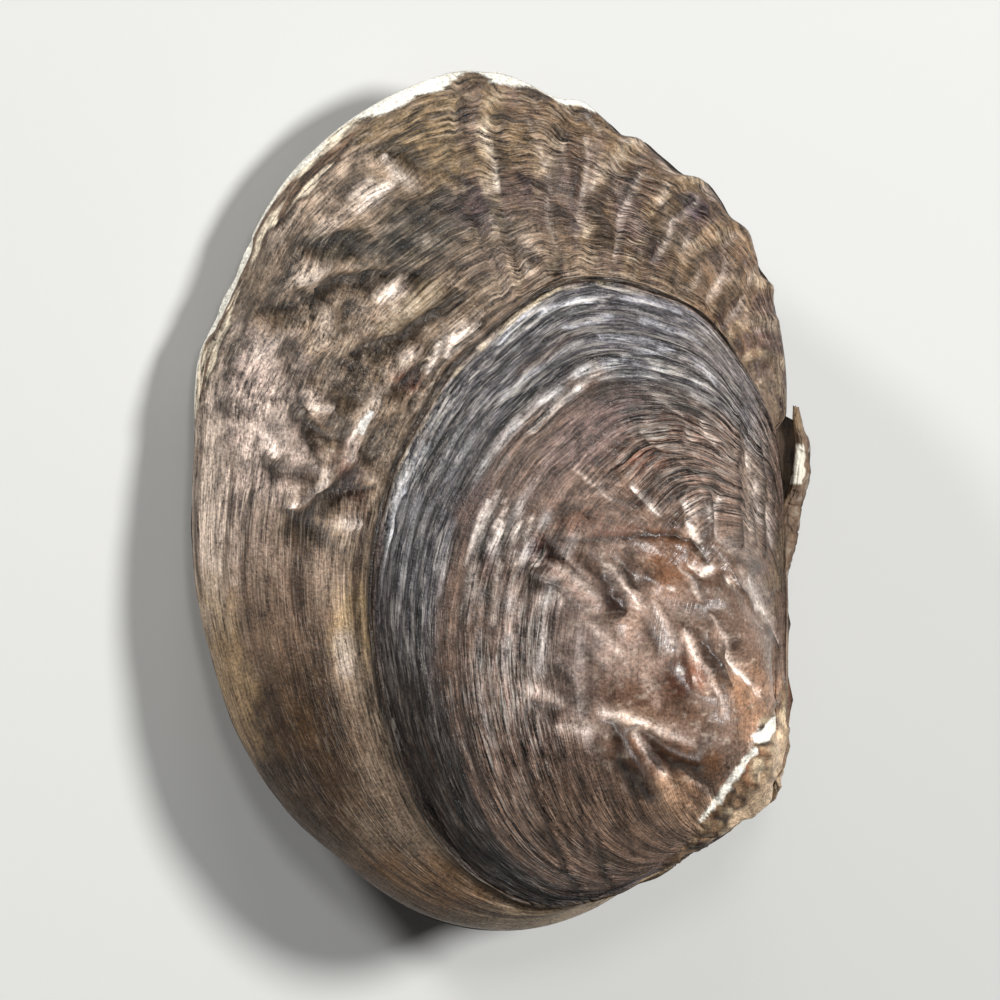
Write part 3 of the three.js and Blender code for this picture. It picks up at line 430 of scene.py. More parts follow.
# The same with a colour and a strength
brimPatches = [
    (-16.3, 29, 5, 2.6, 0, (104, 87, 65), 0.85), (-8, 26.5, 6.5, 3.8, -35, (90, 72, 53), 0.85),
    (-2.6, 21.6, 2.2, 4.2, 0, (108, 86, 66), 0.75), (-17.6, 24.4, 4.6, 2, 15, (50, 45, 38), 0.85),
    (-22.2, 23.7, 1.2, 0.9, 0, (56, 52, 44), 0.8), (-25.7, 15.2, 2.6, 4.4, 0, (165, 146, 136), 0.75),
    (-26.7, 11, 1.8, 4, 0, (158, 138, 126), 0.6), (-18.1, 20.7, 1.9, 0.8, 35, (104, 92, 74), 0.75),
    (-22.2, 26.6, 2.4, 1.7, 40, (152, 132, 114), 0.8), (-18.2, 17.1, 0.9, 0.7, 40, (80, 52, 42), 0.85),
    (-21.2, 12.4, 0.9, 1.6, 0, (84, 62, 56), 0.75), (-28.1, 10.6, 1, 7.5, 0, (212, 190, 172), 0.85),
    # The dark patches at (-23.6, -0.4) and (-23.3, -1.4) at the lower front are partly the brim's own darker
    # brown and partly painted shade
    (-24.6, 8.4, 2.6, 3.2, 0, (136, 116, 101), 0.7), (-23.6, -0.4, 3.2, 7.4, 12, (64, 47, 33), 0.75),
    (-23.3, -1.4, 1.9, 4.8, 12, (52, 36, 21), 0.75), (-27.2, 3, 1.1, 5, 12, (150, 124, 92), 0.75),
    (-20.9, 5, 1.2, 2, 0, (140, 117, 84), 0.7), (-21.3, 3.9, 0.7, 1.1, 0, (158, 146, 136), 0.55),
    (-17.8, -7.6, 4.6, 1.5, -8, (97, 73, 51), 0.8), (-23.6, 9.8, 1.2, 1, 0, (72, 58, 42), 0.7),
    (-24.6, 20.3, 1, 0.8, 0, (84, 70, 56), 0.7), (-24.4, 5.5, 2.4, 2.6, 0, (104, 84, 70), 0.5),
    (-13.5, 27, 0.35, 3, 12, (84, 68, 52), 0.55), (-11, 26, 2.2, 1.8, 0, (72, 60, 57), 0.6),
    (-4.4, 25.6, 0.9, 0.5, -35, (52, 42, 58), 0.9), (-7.4, 24.8, 0.7, 2.4, 28, (80, 64, 66), 0.6),
    (-15.6, 25.4, 1.3, 0.8, 0, (64, 54, 52), 0.7), (-14.2, 23, 2, 0.8, 20, (80, 68, 60), 0.7),
]
domePatches = [
    # Painted light: the pale patches at (-1.5, 12.4) on the steep right wall and at (-5, -3.2) low on the
    # right lighten sides that the lamps light too little
    (-6.4, 16.6, 4.2, 2.1, 0, (50, 43, 40), 0.9), (-1.5, 12.4, 1, 3.6, 0, (140, 122, 108), 0.6),
    (-5, -3.2, 2.3, 1.7, -20, (158, 126, 100), 0.85), (-17, 0.6, 1.2, 5, 14, (30, 24, 21), 0.7),
    (-16, 12.2, 1.2, 2, -30, (60, 46, 44), 0.7), (-9.4, -3, 2.6, 2, 0, (76, 60, 50), 0.6),
    (-10.9, 4.2, 3.6, 4.2, 20, (122, 104, 95), 0.7), (-6.4, 4.6, 3, 3.4, 0, (138, 113, 98), 0.65),
    (-4.4, -2, 1.6, 1.4, -35, (118, 86, 62), 0.45), (-7, 1.7, 2.6, 0.8, -15, (100, 70, 52), 0.6),
    (-5.3, 15, 1, 0.6, 0, (90, 60, 44), 0.8), (-6.8, 13.3, 1, 0.6, 0, (94, 56, 36), 0.8),
    (-10.2, 10.4, 1.5, 0.5, 15, (90, 62, 46), 0.8), (-5.4, 8.3, 2, 1.6, 0, (88, 58, 38), 0.9),
    (-11.9, 8.9, 0.8, 0.6, 0, (84, 46, 38), 0.85), (-8.5, 6.5, 0.7, 0.6, 0, (66, 40, 34), 0.85),
    (-5.2, 2.8, 1.1, 0.9, 0, (96, 56, 38), 0.9), (-6, -0.9, 2.6, 0.9, -10, (80, 49, 26), 0.9),
    (-1.7, 1.6, 1.4, 2, 20, (166, 122, 88), 0.75), (-11, -4.4, 3.4, 2.6, 0, (104, 83, 68), 0.7),
    (-7, -4.6, 2.6, 1.6, -20, (116, 91, 73), 0.7), (-8, 9.8, 2.4, 0.35, 0, (88, 58, 42), 0.7),
    (-4.6, -1.8, 2.2, 0.8, -35, (100, 68, 44), 0.6), (-7.4, 0.9, 1.6, 0.5, -18, (140, 112, 90), 0.7),
    (-0.3, 8.6, 2.2, 0.45, 84, (118, 100, 78), 0.7), (-3.4, 12.4, 1.4, 3, 0, (118, 96, 84), 0.5),
    (-14.8, 10, 1, 3.4, 10, (66, 52, 50), 0.7), (-9.4, 14.6, 3, 1.4, 35, (98, 80, 76), 0.6),
]
# The same with a strength alone: places of painted highlight on the brim's lumps
highlightPlaces = [
    (-20.5, 26.2, 0.8, 0.5, 35, 0.9), (-18.6, 27.2, 1, 0.35, -30, 0.8), (-22.3, 24.7, 0.5, 0.35, 30, 0.8),
    (-23.4, 22.5, 0.9, 0.45, -20, 0.8), (-19.1, 21.6, 0.8, 0.4, 30, 0.7), (-15.5, 19.4, 0.9, 0.6, 45, 1),
    (-16.3, 18.8, 0.5, 0.5, 45, 0.9), (-18.4, 18.2, 0.6, 0.4, 40, 0.6), (-22.5, 19.8, 0.3, 0.9, -10, 0.7),
    (-25.1, 18.7, 0.8, 0.5, 0, 0.6), (-22.1, 17.2, 0.3, 1, -15, 0.7), (-22.9, 15.9, 0.7, 0.4, 0, 0.9),
    (-24.9, 14.8, 0.9, 1.4, -5, 0.9), (-26.1, 13.7, 0.6, 1, 0, 0.8), (-20.6, 14.6, 0.3, 1.6, -12, 0.8),
    (-20.1, 16.4, 0.8, 0.3, 40, 0.7), (-23.1, 12.1, 0.9, 0.3, 25, 0.8), (-21.2, 10.2, 0.6, 0.4, 0, 0.8),
    (-26.8, 19.5, 0.5, 1.6, -15, 0.5), (-24.6, 24.6, 0.4, 1.2, -30, 0.7), (-27.6, 16, 0.5, 1.6, 0, 0.6),
    (-14.8, 29.4, 0.4, 0.9, 10, 0.5), (-14.4, 25.6, 0.3, 1.4, 8, 0.6), (-12.6, 23.4, 0.4, 0.9, 14, 0.6),
    (-17.6, 24, 0.5, 0.3, 0, 0.5), (-19.2, 24.6, 0.6, 0.3, 20, 0.5), (-8.6, 27.4, 0.4, 1.4, 30, 0.5),
    (-5.2, 24.2, 0.4, 1.2, 36, 0.6), (-3, 22.6, 0.4, 1, 45, 0.6), (-1.6, 20.2, 0.4, 0.9, 55, 0.6),
    (-11.2, 27.8, 0.35, 1.6, 18, 0.5), (-7.4, 25.4, 0.35, 1.2, 30, 0.5), (-10, 25, 0.3, 1.2, 24, 0.5),
]


# From a colour as seen on a screen to linear light
def linear(colour):
    c = np.asarray(colour, float) / 255
    return np.where(c <= 0.04045, c / 12.92, ((c + 0.055) / 1.055) ** 2.4)


# A valve's grid of stages by outline points, with its smooth places, soft zones, random relief and paint.
# "distance" is the way along the lower section, and "crowd" tells how far apart the growth lines lie.
class valveGrid:
    def __init__(self, seed):
        self.seed = seed
        stages = spaced(growth["outerRings"], 0.02, 1.0, stageWeights)
        self.points = spaced(growth["columns"] + 1, 0.0, float(len(marginOutline)), pointWeights)[:-1]
        self.stage, self.point = np.meshgrid(stages, self.points, indexing="ij")
        self.base = valvePlace(self.stage, self.point)
        self.x, self.y = self.base[..., 0], self.base[..., 1]
        rest = growth["restStage"]
        lowerEdge = curveAt(lowerSideYoung, np.minimum(stages / rest, 1))
        newerEdge = curveAt(lowerSideOld, (stages - rest) / (1 - rest))
        lowerEdge = np.where((stages > rest)[:, None], newerEdge, lowerEdge)
        steps = np.linalg.norm(np.diff(lowerEdge, axis=0), axis=1)
        self.distance = np.concatenate([[0], np.cumsum(steps)])[:, None] + 0 * self.point
        apart = np.linalg.norm(np.gradient(self.base, axis=0), axis=-1)
        self.crowd = smooth(0.12, 0.5, apart / np.maximum(np.gradient(self.distance, axis=0), 1e-6))
        self.colour = linear(skinColours["brim"]) * np.ones(self.stage.shape + (1,))
        self.findZones(self.stage, self.point, self.x, self.y)
        self.findBeak(self.x, self.y)
        self.findPeel(self.stage, self.point)

    # Soft zones: newer brim, older shell, its plain top, ribs, smooth and crumpled sides, umbo and dark band
    def findZones(self, stage, point, x, y):
        centreX, centreY = growth["crumpledCentre"]
        self.frontStage = frontShift(stage, point)
        self.brim = smooth(0.71, 0.73, stage)
        self.young = 1 - smooth(0.712, 0.717, self.frontStage)
        self.quiet = (1 - smooth(4.2, 7.2, np.hypot(x + 5.8, (y - 4.0) * 0.8))) * (stage < 0.6)
        self.ribbed = smooth(16.2, 17.4, point) * smooth(0.72, 0.76, stage)
        self.calm = window(point, 3.0, 4.5, 10.0, 12.2) * smooth(0.735, 0.77, stage)
        self.crumpled = 1 - smooth(5.0, 11.0, np.hypot(x - centreX, y - centreY))
        self.lowerFront = window(point, 3.5, 5, 10.5, 12)
        self.umbo = 1 - smooth(0.1, 0.36, stage + 0.05 * self.noise(x, y, 45))
        inner = 0.605 - 0.02 * smooth(17, 20, point) + 0.012 * self.noise(point * 1.1, stage * 3, 46)
        band = smooth(inner - 0.012, inner + 0.016, stage) * self.young
        self.band = band * (1 - 0.85 * smooth(22.0, 23.5, point)) * smooth(2.6, 4.2, point)

    # The beak's worn ground, by its distance inside the bowed line, and the share of its white lines
    def findBeak(self, x, y):
        (startX, startY), (goX, goY) = beak["start"], beak["toFront"]
        self.alongBeak = ((x - startX) * goX + (y - startY) * goY) / beak["length"]
        bow = beak["bow"] * np.sin(np.pi * np.clip(self.alongBeak, 0, 1))
        jag = 0.14 * softNoise(x * 2.2 + 40, y * 2.2 + 11, 71) + 0.06 * softNoise(x * 6 + 3, y * 6 + 9, 72)
        self.inBeak = (y - startY) * goX - (x - startX) * goY - bow + jag
        self.older = self.stage < 0.62
        self.worn = smooth(0.0, 0.16, self.inBeak) * self.older
        self.knobs = np.abs(self.noise(x * 1.6 + 6, y * 1.6, 25))
        self.pits = self.noise(x * 2.3, y * 2.3, 23)
        ragged = 0.05 * self.noise(x * 5, y * 5, 49)
        self.white = np.zeros_like(x)
        for chain, halfWidth in whiteLines:
            for start, end in zip(chain[:-1], chain[1:]):
                beside = lineDistance(x, y, *start, *end) + ragged - halfWidth
                self.white = np.maximum(self.white, (1 - smooth(-0.05, 0.05, beside)) * self.older)

    # The margin's white chips, and the flaky strip of the lower rear side with its cracks and pale slivers
    def findPeel(self, stage, point):
        fromEdge = (1 - stage) * 34
        ragged = 1 + 0.35 * self.noise(point * 4.0, 2.5, 30) + 0.2 * self.noise(point * 13, 1, 31)
        chip = np.interp(point, *zip(*chipWidths)) * ragged
        self.chipped = smooth(-0.04, 0.04, chip - fromEdge) * (chip > 0.03)
        flaky = window(point, 12.2, 12.9, 15.8, 16.1)
        inner = flaky * (1.05 + 0.4 * self.noise(point * 2.2, 7, 34) + 0.15 * self.noise(point * 9, 8, 35))
        self.strip = smooth(-0.05, 0.05, inner - fromEdge) * (inner > 0.05)
        split = 0.45 * inner + 0.12 * self.noise(point * 11, 3, 36)
        innerCrack = bell(fromEdge - inner, 0.11) * smooth(-0.6, 0.0, self.noise(point * 3, 6, 38))
        splitCrack = 0.9 * bell(fromEdge - split, 0.09) * smooth(-0.5, 0.1, self.noise(point * 6, 4, 37))
        self.crack = np.maximum(innerCrack, splitCrack) * flaky
        self.sliver = self.strip * smooth(-0.12, 0.12, self.noise(point * 2.6, stage * 150, 51))

    # The valve's own random relief number k, and layers of it, each twice as close and half as high
    def noise(self, u, v, k, closeAt=256):
        return softNoise(u, v, self.seed + k, closeAt)

    def layered(self, u, v, k, layers=3):
        return sum(self.noise(u * 2 ** n, v * 2 ** n, k + n) / 2 ** n for n in range(layers)) / 1.6

    # Share of a softly edged place
    def patch(self, place, k, grown=1.0):
        px, py, halfLength, halfWidth, turn = place
        x, y, a = self.x, self.y, math.radians(turn)
        u = ((x - px) * math.cos(a) + (y - py) * math.sin(a)) / (halfLength * grown)
        v = ((y - py) * math.cos(a) - (x - px) * math.sin(a)) / (halfWidth * grown)
        ragged = 0.3 * self.noise(x * 1.7 + px, y * 1.7 + py, k) + 0.18 * self.noise(x * 5 + px, y * 5, k + 1)
        return 1 - smooth(0.45, 1.35, np.hypot(u, v) + ragged)

    # Growth ridges one by one: stage, height, offset from the ridge, width and share along the ring
    def ridges(self):
        wander = self.stage + 0.0025 * self.noise(self.point * 1.4, self.stage * 6, 10)
        for at, width, height, first, last in growthRidges:
            reach = window(self.point, first - 0.7, first + 0.7, last - 0.7, last + 0.7)
            yield at, height, wander - at, width, reach

    # Mixes a colour into the skin by a share for each place
    def paint(self, tone, mask):
        tone = linear(skinColours.get(tone, tone))
        self.colour = mix(self.colour, tone, np.clip(mask, 0, 1)[..., None])

    def paintPatches(self, patches, k, share):
        for *place, tone, amount in patches:
            self.paint(tone, amount * self.patch(place, k) * share)


# Heights of the relief in mm
relief = {
    "crumple": 0.24, "wave": 0.1, "lineBrim": 0.05, "lineBand": 0.085, "lineOlder": 0.055, "lineLeast": 0.018,
    "satin": 0.05, "crepe": 0.06, "wrinkle": 0.09, "chip": 0.07, "strip": 0.09, "crack": 0.06, "sliver": 0.07,
}


# Lifts of the finished skin above the smooth valve in two layers: the large forms, then the fine growth lines
def largeLift(v, rows):
    g = growth
    brim = smooth(0.7, 0.74, v.stage)
    wide, thin = 0.12 + 0.2 * brim, 0.03 + 0.09 * brim
    x, y = v.x, v.y
    warpX = x + wide * v.noise(x * 0.9 + 7, y * 0.9 + 5, 0) + thin * v.noise(x * 2.6, y * 2.6 + 8, 1)
    warpY = y + wide * v.noise(x * 0.9 + 21, y * 0.9 + 2, 2) + thin * v.noise(x * 2.6 + 5, y * 2.6, 3)
    uneven = 0.75 + 0.7 * v.noise(v.stage * 26, v.point * 1.1, 8)
    ribs = g["ribHeight"] * uneven * ribShape(v.point + 0.14 * v.noise(v.stage * 22, v.point * 1.2, 4))
    ribs = ribs * smooth(g["restStage"], 0.8, v.stage)
    crumple = window(v.point, 11.8, 13, 16.6, 17.6) * window(v.stage, 0.72, 0.76, 0.93, 0.97)
    small = relief["crumple"] * v.layered(warpX * 0.8, warpY * 0.8, 5) * crumple
    wave = relief["wave"] * v.layered(x * 0.3 + 3, y * 0.3, 6, 2)
    forms = lumpLift(warpX, warpY, rows)
    forms = forms * np.where(forms < 0, 1 - 0.3 * brim, 1 + 0.2 * brim)
    unevenStep = (1 - 0.3 * window(v.point, 2, 4, 6, 8)) * (1 + 0.3 * v.noise(v.point * 3.0, 4.5, 7))
    pastStep = v.frontStage - g["restStage"] - g["stepWidth"]
    crease = -g["stepDrop"] * unevenStep * bell(pastStep, g["stepWidth"])
    ridge = g["brimRidge"] * bell(v.stage - 0.765, 0.022) * window(v.point, 3, 5, 10.5, 12.5)
    across = -x / g["valveDepth"]
    lift = (ribs + forms + small + wave) * smooth(0, 0.03, across)
    return lift + (crease + ridge) * smooth(0.02, 0.12, across)


# Ridges are bells of the growth stage, growth lines are noise of the growth distance along the rings, and the
# satin, crepe and rib wrinkles are noise of the plan places or of a bent growth distance
def fineLift(v):
    r, around = relief, len(marginOutline)
    lift = sum(height * bell(offset, width) * reach for _, height, offset, width, reach in v.ridges())
    coarse = v.noise(v.distance * 1.6, v.point, 11, around)
    medium = v.noise(v.distance * 3.4, v.point * 2.0, 12, 2 * around)
    older = 1 - smooth(0.585, 0.61, v.stage)
    strength = r["lineOlder"] * older * smooth(0.18, 0.4, v.stage) + r["lineLeast"]
    strength = strength + r["lineBrim"] * smooth(0.715, 0.75, v.stage)
    strength = strength + r["lineBand"] * window(v.stage, 0.59, 0.62, 0.712, 0.72)
    strength = strength * (1 - 0.85 * v.quiet) * (1 - 0.6 * v.calm)
    lift = lift + strength * (0.7 * coarse + 0.9 * (0.5 - np.abs(medium)))
    satin = r["satin"] * v.layered(v.x * 1.6 + 2, v.y * 1.6, 14, 2) * older
    bent = v.distance * 2.6 + 0.8 * v.noise(v.x * 3, v.y * 3, 15)
    crepe = r["crepe"] * v.noise(bent, v.point * 4, 16, 4 * around) * older
    crepe = crepe * smooth(8, 12, v.y) * (1 - smooth(0.55, 0.6, v.stage))
    bent = v.distance * 1.9 + 0.9 * v.noise(v.x * 1.4, v.y * 1.4, 17) + 0.5 * ribShape(v.point)
    wrinkle = r["wrinkle"] * v.noise(bent, v.point * 3, 18, 3 * around) * v.ribbed
    return lift + satin + crepe + wrinkle


# The worn beak is sunk by the wear depth past its bowed line, less knobs and lumps, with a lip on the line
def erosionLift(v):
    lumpy = beak["lumpHeight"] * v.layered(v.x * 1.2 + 4, v.y * 1.2, 20, 2)
    lumpy = (lumpy - beak["pitDepth"] * smooth(0.45, 0.8, v.pits)) * (1 - 0.8 * smooth(1.2, 2.4, v.inBeak))
    knobs = beak["knobHeight"] * v.knobs + 0.02 * v.noise(v.x * 4.5, v.y * 4.5, 26)
    ground = smooth(0, 0.3, v.inBeak) * (knobs + lumpy - beak["wearDepth"])
    lip = beak["lipHeight"] * bell(v.inBeak + 0.1, 0.16) * smooth(-0.1, 0.1, v.alongBeak)
    return (ground + lip) * v.older * (1 - 0.7 * v.white)


# The finished skin, lifted along the normal once for each layer, and how far each place stands out from those
# near it, which later sets painted shade and painted highlight. The strokes' painted highlight and painted
# shade shares are kept for the paint.
def shapeSkin(v, rows, strokes):
    r = relief
    large = largeLift(v, rows)
    formed = v.base + gridNormal(v.base) * large[..., None]
    bentX = v.x + 0.07 * v.noise(v.x * 2.2, v.y * 2.2, 19)
    bentY = v.y + 0.07 * v.noise(v.x * 2.2 + 9, v.y * 2.2, 21)
    strokeLift, v.strokePale, v.strokeDark = strokeFields(bentX, bentY, strokes)
    clear = 1 - smooth(0.985, 1.0, v.stage)
    fine = fineLift(v) * v.crowd * smooth(0.04, 0.12, v.stage)
    fine = (fine + strokeLift * (1 + 0.3 * (v.stage > 0.72))) * clear + erosionLift(v)
    sunk = r["chip"] * v.chipped + r["strip"] * v.strip + r["crack"] * v.crack - r["sliver"] * v.sliver
    fine = fine - sunk * clear
    skin = formed + gridNormal(formed) * fine[..., None]
    rim = growth["valveGap"] / 2
    skin[..., 2] = np.maximum(skin[..., 2], rim)
    skin[-1, :, 2] = rim
    lift = large + fine
    raised = 0.45 * np.clip((lift - blurred(lift, 7)) / 0.16, -1, 1)
    raised = raised + 0.55 * np.clip((lift - blurred(lift, 2)) / 0.035, -1, 1)
    return skin, raised * (1 - smooth(0.95, 0.98, v.stage))


# The newer brim: its patches, a tan line past the pause, and the pale lip at the front end
def paintBrim(v):
    ragged = v.stage + 0.004 * v.noise(v.point * 2.3, v.stage * 40, 40)
    v.paintPatches(brimPatches, 41, v.brim)
    patchy = 0.75 + 0.5 * v.noise(v.point * 2.2, v.stage * 24, 68)
    v.paint("tan", 0.5 * patchy * bell(ragged - 0.748, 0.014) * v.lowerFront)
    v.paint("frontLip", 0.9 * window(v.point, 2.6, 3.2, 5.0, 6.2) * smooth(0.55, 0.6, ragged))


# The older shell: ground colour, patches, pale umbo, and the band with a darker and two paler stretches
def paintOlder(v):
    v.paint("dome", v.young)
    v.paintPatches(domePatches, 43, v.young)
    v.paint("umbo", 0.6 * v.umbo)
    v.paint("band", 0.95 * v.band)
    v.paint("bandDark", 0.92 * v.band * window(v.point, 4.5, 6.0, 9.5, 12.0))
    v.paint("bandPale", 0.65 * v.band * v.patch(softPlaces["bandLeft"], 74))
    v.paint("bandWarm", 0.28 * v.band * v.patch(softPlaces["bandRear"], 76))


# Painted highlights on the bright places and the strokes, painted shade from the strokes' dark parts,
# and the ribs with painted shade on one side and painted highlight on the other
def paintStrokes(v):
    # Painted highlights on the brim's lumps
    for *place, amount in highlightPlaces:
        v.paint("brimHighlight", 0.3 * amount * v.patch(place, 60, 1.3) * v.brim)
    # Painted shade and painted highlight along the strokes, with a silver highlight on the band
    pale, silver = v.strokePale, np.clip(v.band, 0, 1)
    broken = 0.65 + 0.3 * v.noise(v.x * 7, v.y * 7, 64) + 0.3 * v.noise(v.x * 2.6, v.y * 2.6, 70)
    v.paint("strokeDark", (0.85 + 0.5 * v.ribbed) * v.strokeDark * broken)
    v.paint("strokePale", (0.72 - 0.2 * v.ribbed) * pale * (broken + 0.4 * pale ** 2) * (1 - silver))
    v.paint("strokeSilverHighlight", 0.72 * pale * broken * silver)
    # Painted shade on one flank of each rib and painted highlight on the other, from the rib's slope
    slope = (ribShape(v.point + 0.05) - ribShape(v.point - 0.05)) * 1.7
    patchy = smooth(-0.5, 0.3, v.noise(v.point * 2.2, v.stage * 30, 71)) * v.ribbed
    v.paint("ribShade", 0.85 * np.clip(slope, 0, 1) * patchy)
    v.ribPale = np.clip(-slope, 0, 1) * patchy
    v.paint("ribPale", 0.3 * v.ribPale * smooth(-0.2, 0.4, v.noise(v.x * 3.4, v.y * 3.4, 72)))


# Dark growth lines, painted highlight and painted shade on the growth ridges, painted shade in the crease,
# the tattered lip of the pause, and painted glints
def paintLines(v):
    stage, point, x, y = v.stage, v.point, v.x, v.y
    bent = v.distance * 1.9 + 0.4 * v.noise(point * 1.2, stage * 9, 62)
    lined = smooth(0.3, 0.42, stage) * (1 - 0.9 * v.quiet)
    lined = lined * (1 - 0.6 * smooth(0.72, 0.74, stage) * smooth(12, 13, point))
    v.paint("crack", 0.7 * smooth(0.35, 0.75, v.noise(bent, point * 0.35, 63)) * lined * v.crowd)
    # Growth ridges: painted highlight along raised ones and painted shade along sunk ones, by their height
    for at, height, offset, width, reach in v.ridges():
        broken = smooth(-0.7, 0.5, v.noise(point * 2.4, at * 90, 61))
        if height > 0:
            v.paint("ridge", 3.84 * height * bell(offset, width * 0.9) * reach * broken)
        else:
            v.paint("bandDark", -3.6 * height * bell(offset, width * 1.2) * reach)
    # Painted shade: a dark line in the crease of the step at the pause
    v.paint("crack", 0.75 * bell(v.frontStage - 0.719, 0.003) * smooth(0.03, 0.1, -x / growth["valveDepth"]))
    tatters = smooth(-0.3, 0.5, v.noise(point * 3.6, stage * 200, 65))
    v.paint("cream", 0.75 * bell(stage - 0.7135, 0.0022) * window(point, 12.5, 14, 19.4, 20.4) * tatters)
    # Painted glints: small pale flecks on the plain top of the older shell and on the crumpled side
    glintShare = v.noise(x * 3.6 + y, y * 4.8 - 0.5 * x, 78) + 0.6 * v.noise(x * 9, y * 9, 79)
    glintShare = smooth(0.5, 0.85, glintShare + 0.25 * v.noise(x * 0.9, y * 0.9, 80))
    glintShare = glintShare * (1 - 0.8 * v.patch(softPlaces["bigLump"], 43))
    v.paint("glint", 0.28 * glintShare * np.maximum(0.9 * v.quiet * v.young, 0.6 * v.crumpled))


# The worn beak: ground, gaps between knobs, pits, rust and cream places, rim and white lines
def paintBeak(v):
    x, y, worn = v.x, v.y, v.worn
    v.paint("eroded", 0.85 * worn)
    v.paint("knobGap", 0.8 * worn * smooth(0.0, 0.1, 0.1 - v.knobs))
    v.paint("beakPale", 0.5 * worn * smooth(0.0, 0.4, v.noise(x * 3.1 + 5, y * 3.1, 67)))
    v.paint("crack", 0.75 * worn * smooth(0.35, 0.65, v.pits))
    v.paint("beakRust", 0.8 * worn * smooth(0.3, 0.7, v.noise(x * 1.1 + 9, y * 1.1, 47)))
    v.paint("cream", 0.7 * worn * smooth(0.3, 0.6, v.noise(x * 1.4, y * 1.4 + 30, 48)))
    v.paint("beakRim", 0.75 * worn * smooth(0.95, 1.3, v.inBeak + 0.25 * v.noise(x * 1.5, y * 1.5 + 4, 66)))
    v.paint("nacre", v.white)


# The flaky strip with its slivers and cracks, the white chips, and a dark line on the very edge
def paintEdge(v):
    v.paint("strip", 0.9 * v.strip)
    v.paint("sliver", 0.92 * v.sliver)
    v.paint("crack", 0.9 * v.crack)
    v.paint("nacre", v.chipped)
    v.paint("crack", 0.5 * smooth(0.995, 1.0, v.stage) * (1 - v.chipped))


# Painted shade in hollows and painted highlight on crests, and the newer shell's dark tones are richer
def shadeSkin(v, raised):
    newer = smooth(0.58, 0.62, v.stage)[..., None]
    soft = 1 - 0.25 * (v.stage < 0.6) - 0.35 * v.ribbed
    colour = v.colour * (1 + 0.7 * raised * soft)[..., None]
    light = colour.mean(-1, keepdims=True)
    richer = 0.17 * newer * (1 - smooth(0.03, 0.25, light)) - 0.03 * (1 - newer)
    return np.maximum(light + (colour - light) * (1 + richer), 0.001)


# Glossy on the umbo, the strokes, nacre and the plain top, matt on the worn beak and in the valley
def skinRoughness(v):
    brim = smooth(0.71, 0.74, v.stage)
    rough = 0.37 + 0.08 * v.noise(v.x * 0.7, v.y * 0.7, 52) - 0.08 * v.umbo
    rough = rough + brim * (0.04 + 0.08 * v.lowerFront)
    rough = mix(rough, 0.6, 0.6 * v.worn)
    rough = mix(rough, 0.3, np.maximum(v.white, v.chipped))
    rough = mix(rough, 0.33, 0.85 * v.quiet) - 0.05 * v.strokePale
    return mix(rough, 0.5, 0.8 * v.patch(softPlaces["valley"], 75) * v.young)


# Strength of the material's fine lines, and share of pale streaks among them. The streaks are partly pale
# wear and partly painted sheen on the fine ridges, and on the band they are painted silver highlights.
def lineShares(v):
    lines = (1 - np.maximum(np.maximum(v.worn, v.white), v.chipped)) * (1 - 0.8 * v.quiet)
    lines = lines * (1 - 0.45 * v.calm) * (0.5 + 0.28 * v.brim + 0.25 * v.band)
    lines = lines * (0.9 + 0.45 * v.noise(v.x * 0.55 + 3, v.y * 0.55, 69)) * (1 - 0.25 * v.crumpled * v.brim)
    streaky = v.patch(softPlaces["streaky"], 73) * v.young * (1 - v.quiet)
    wrinkled = v.patch(softPlaces["wrinkled"], 77) * v.young * (1 - 0.4 * v.quiet)
    pale = 0.12 + 0.38 * v.brim + 0.4 * v.patch(softPlaces["paleBrim"], 53)
    pale = pale + v.ribbed * (1.7 * v.strokePale + 0.8 * v.ribPale - 0.12)
    silver = 0.52 * v.band * (0.25 + 0.75 * smooth(8.5, 11.5, v.point))
    pale = np.maximum(pale, silver) + 0.25 * v.patch(softPlaces["paleOlder"], 54)
    pale = pale + 0.3 * streaky * smooth(-4, 2, v.y) + 0.12 * wrinkled
    return lines * (1 + 0.6 * streaky) + 0.55 * wrinkled, np.clip(pale, 0, 1)


# Where the fine lines are worked out: plan places, shortened on the crumpled part, and growth distance
def linePlaces(v):
    centreX, centreY = growth["crumpledCentre"]
    wavy = v.distance - v.ribbed * (0.32 * ribShape(v.point) + 0.12 * v.noise(v.point * 7, v.stage * 60, 24))
    shorter = 1.1 * v.crumpled
    return np.stack([v.x + shorter * (v.x - centreX), v.y + shorter * (v.y - centreY), wavy], -1)


# The hollow inside: the same rings made smaller, from the margin back to a single place
def hollowPlaces(points):
    g = growth
    stages = np.concatenate([[1.0, 0.99, 0.975], np.linspace(0.95, 0.08, g["innerRings"] - 3)])
    rings = valvePlace(*np.meshgrid(stages, points, indexing="ij")).reshape(-1, 3)
    outer = np.vstack([rings, valvePlace(np.zeros(1), np.zeros(1))])
    centre = np.array([*g["hollowCentre"], g["valveGap"] / 2])
    return centre + (outer - centre) * [g["wallShare"], g["wallShare"], g["hollowDepthShare"]]


# From millimetres in the shell's own frame to metres as it lies. The left valve is the mirrored one, side -1.
def toRest(places, side=1, lean=0.0):
    leaned = np.stack([places[..., 0] + lean * places[..., 2], places[..., 1], places[..., 2] * side], -1)
    turn = Matrix.Rotation(math.radians(restPose["rearRaise"]), 3, "X")
    turn = turn @ Matrix.Rotation(math.radians(-restPose["hingeRaise"]), 3, "Y")
    rested = leaned @ np.array(turn).T
    rested -= [*restPose["middle"], restPose["floor"]]
    rested[..., 2] = np.maximum(rested[..., 2], 0)
    return rested * 0.001


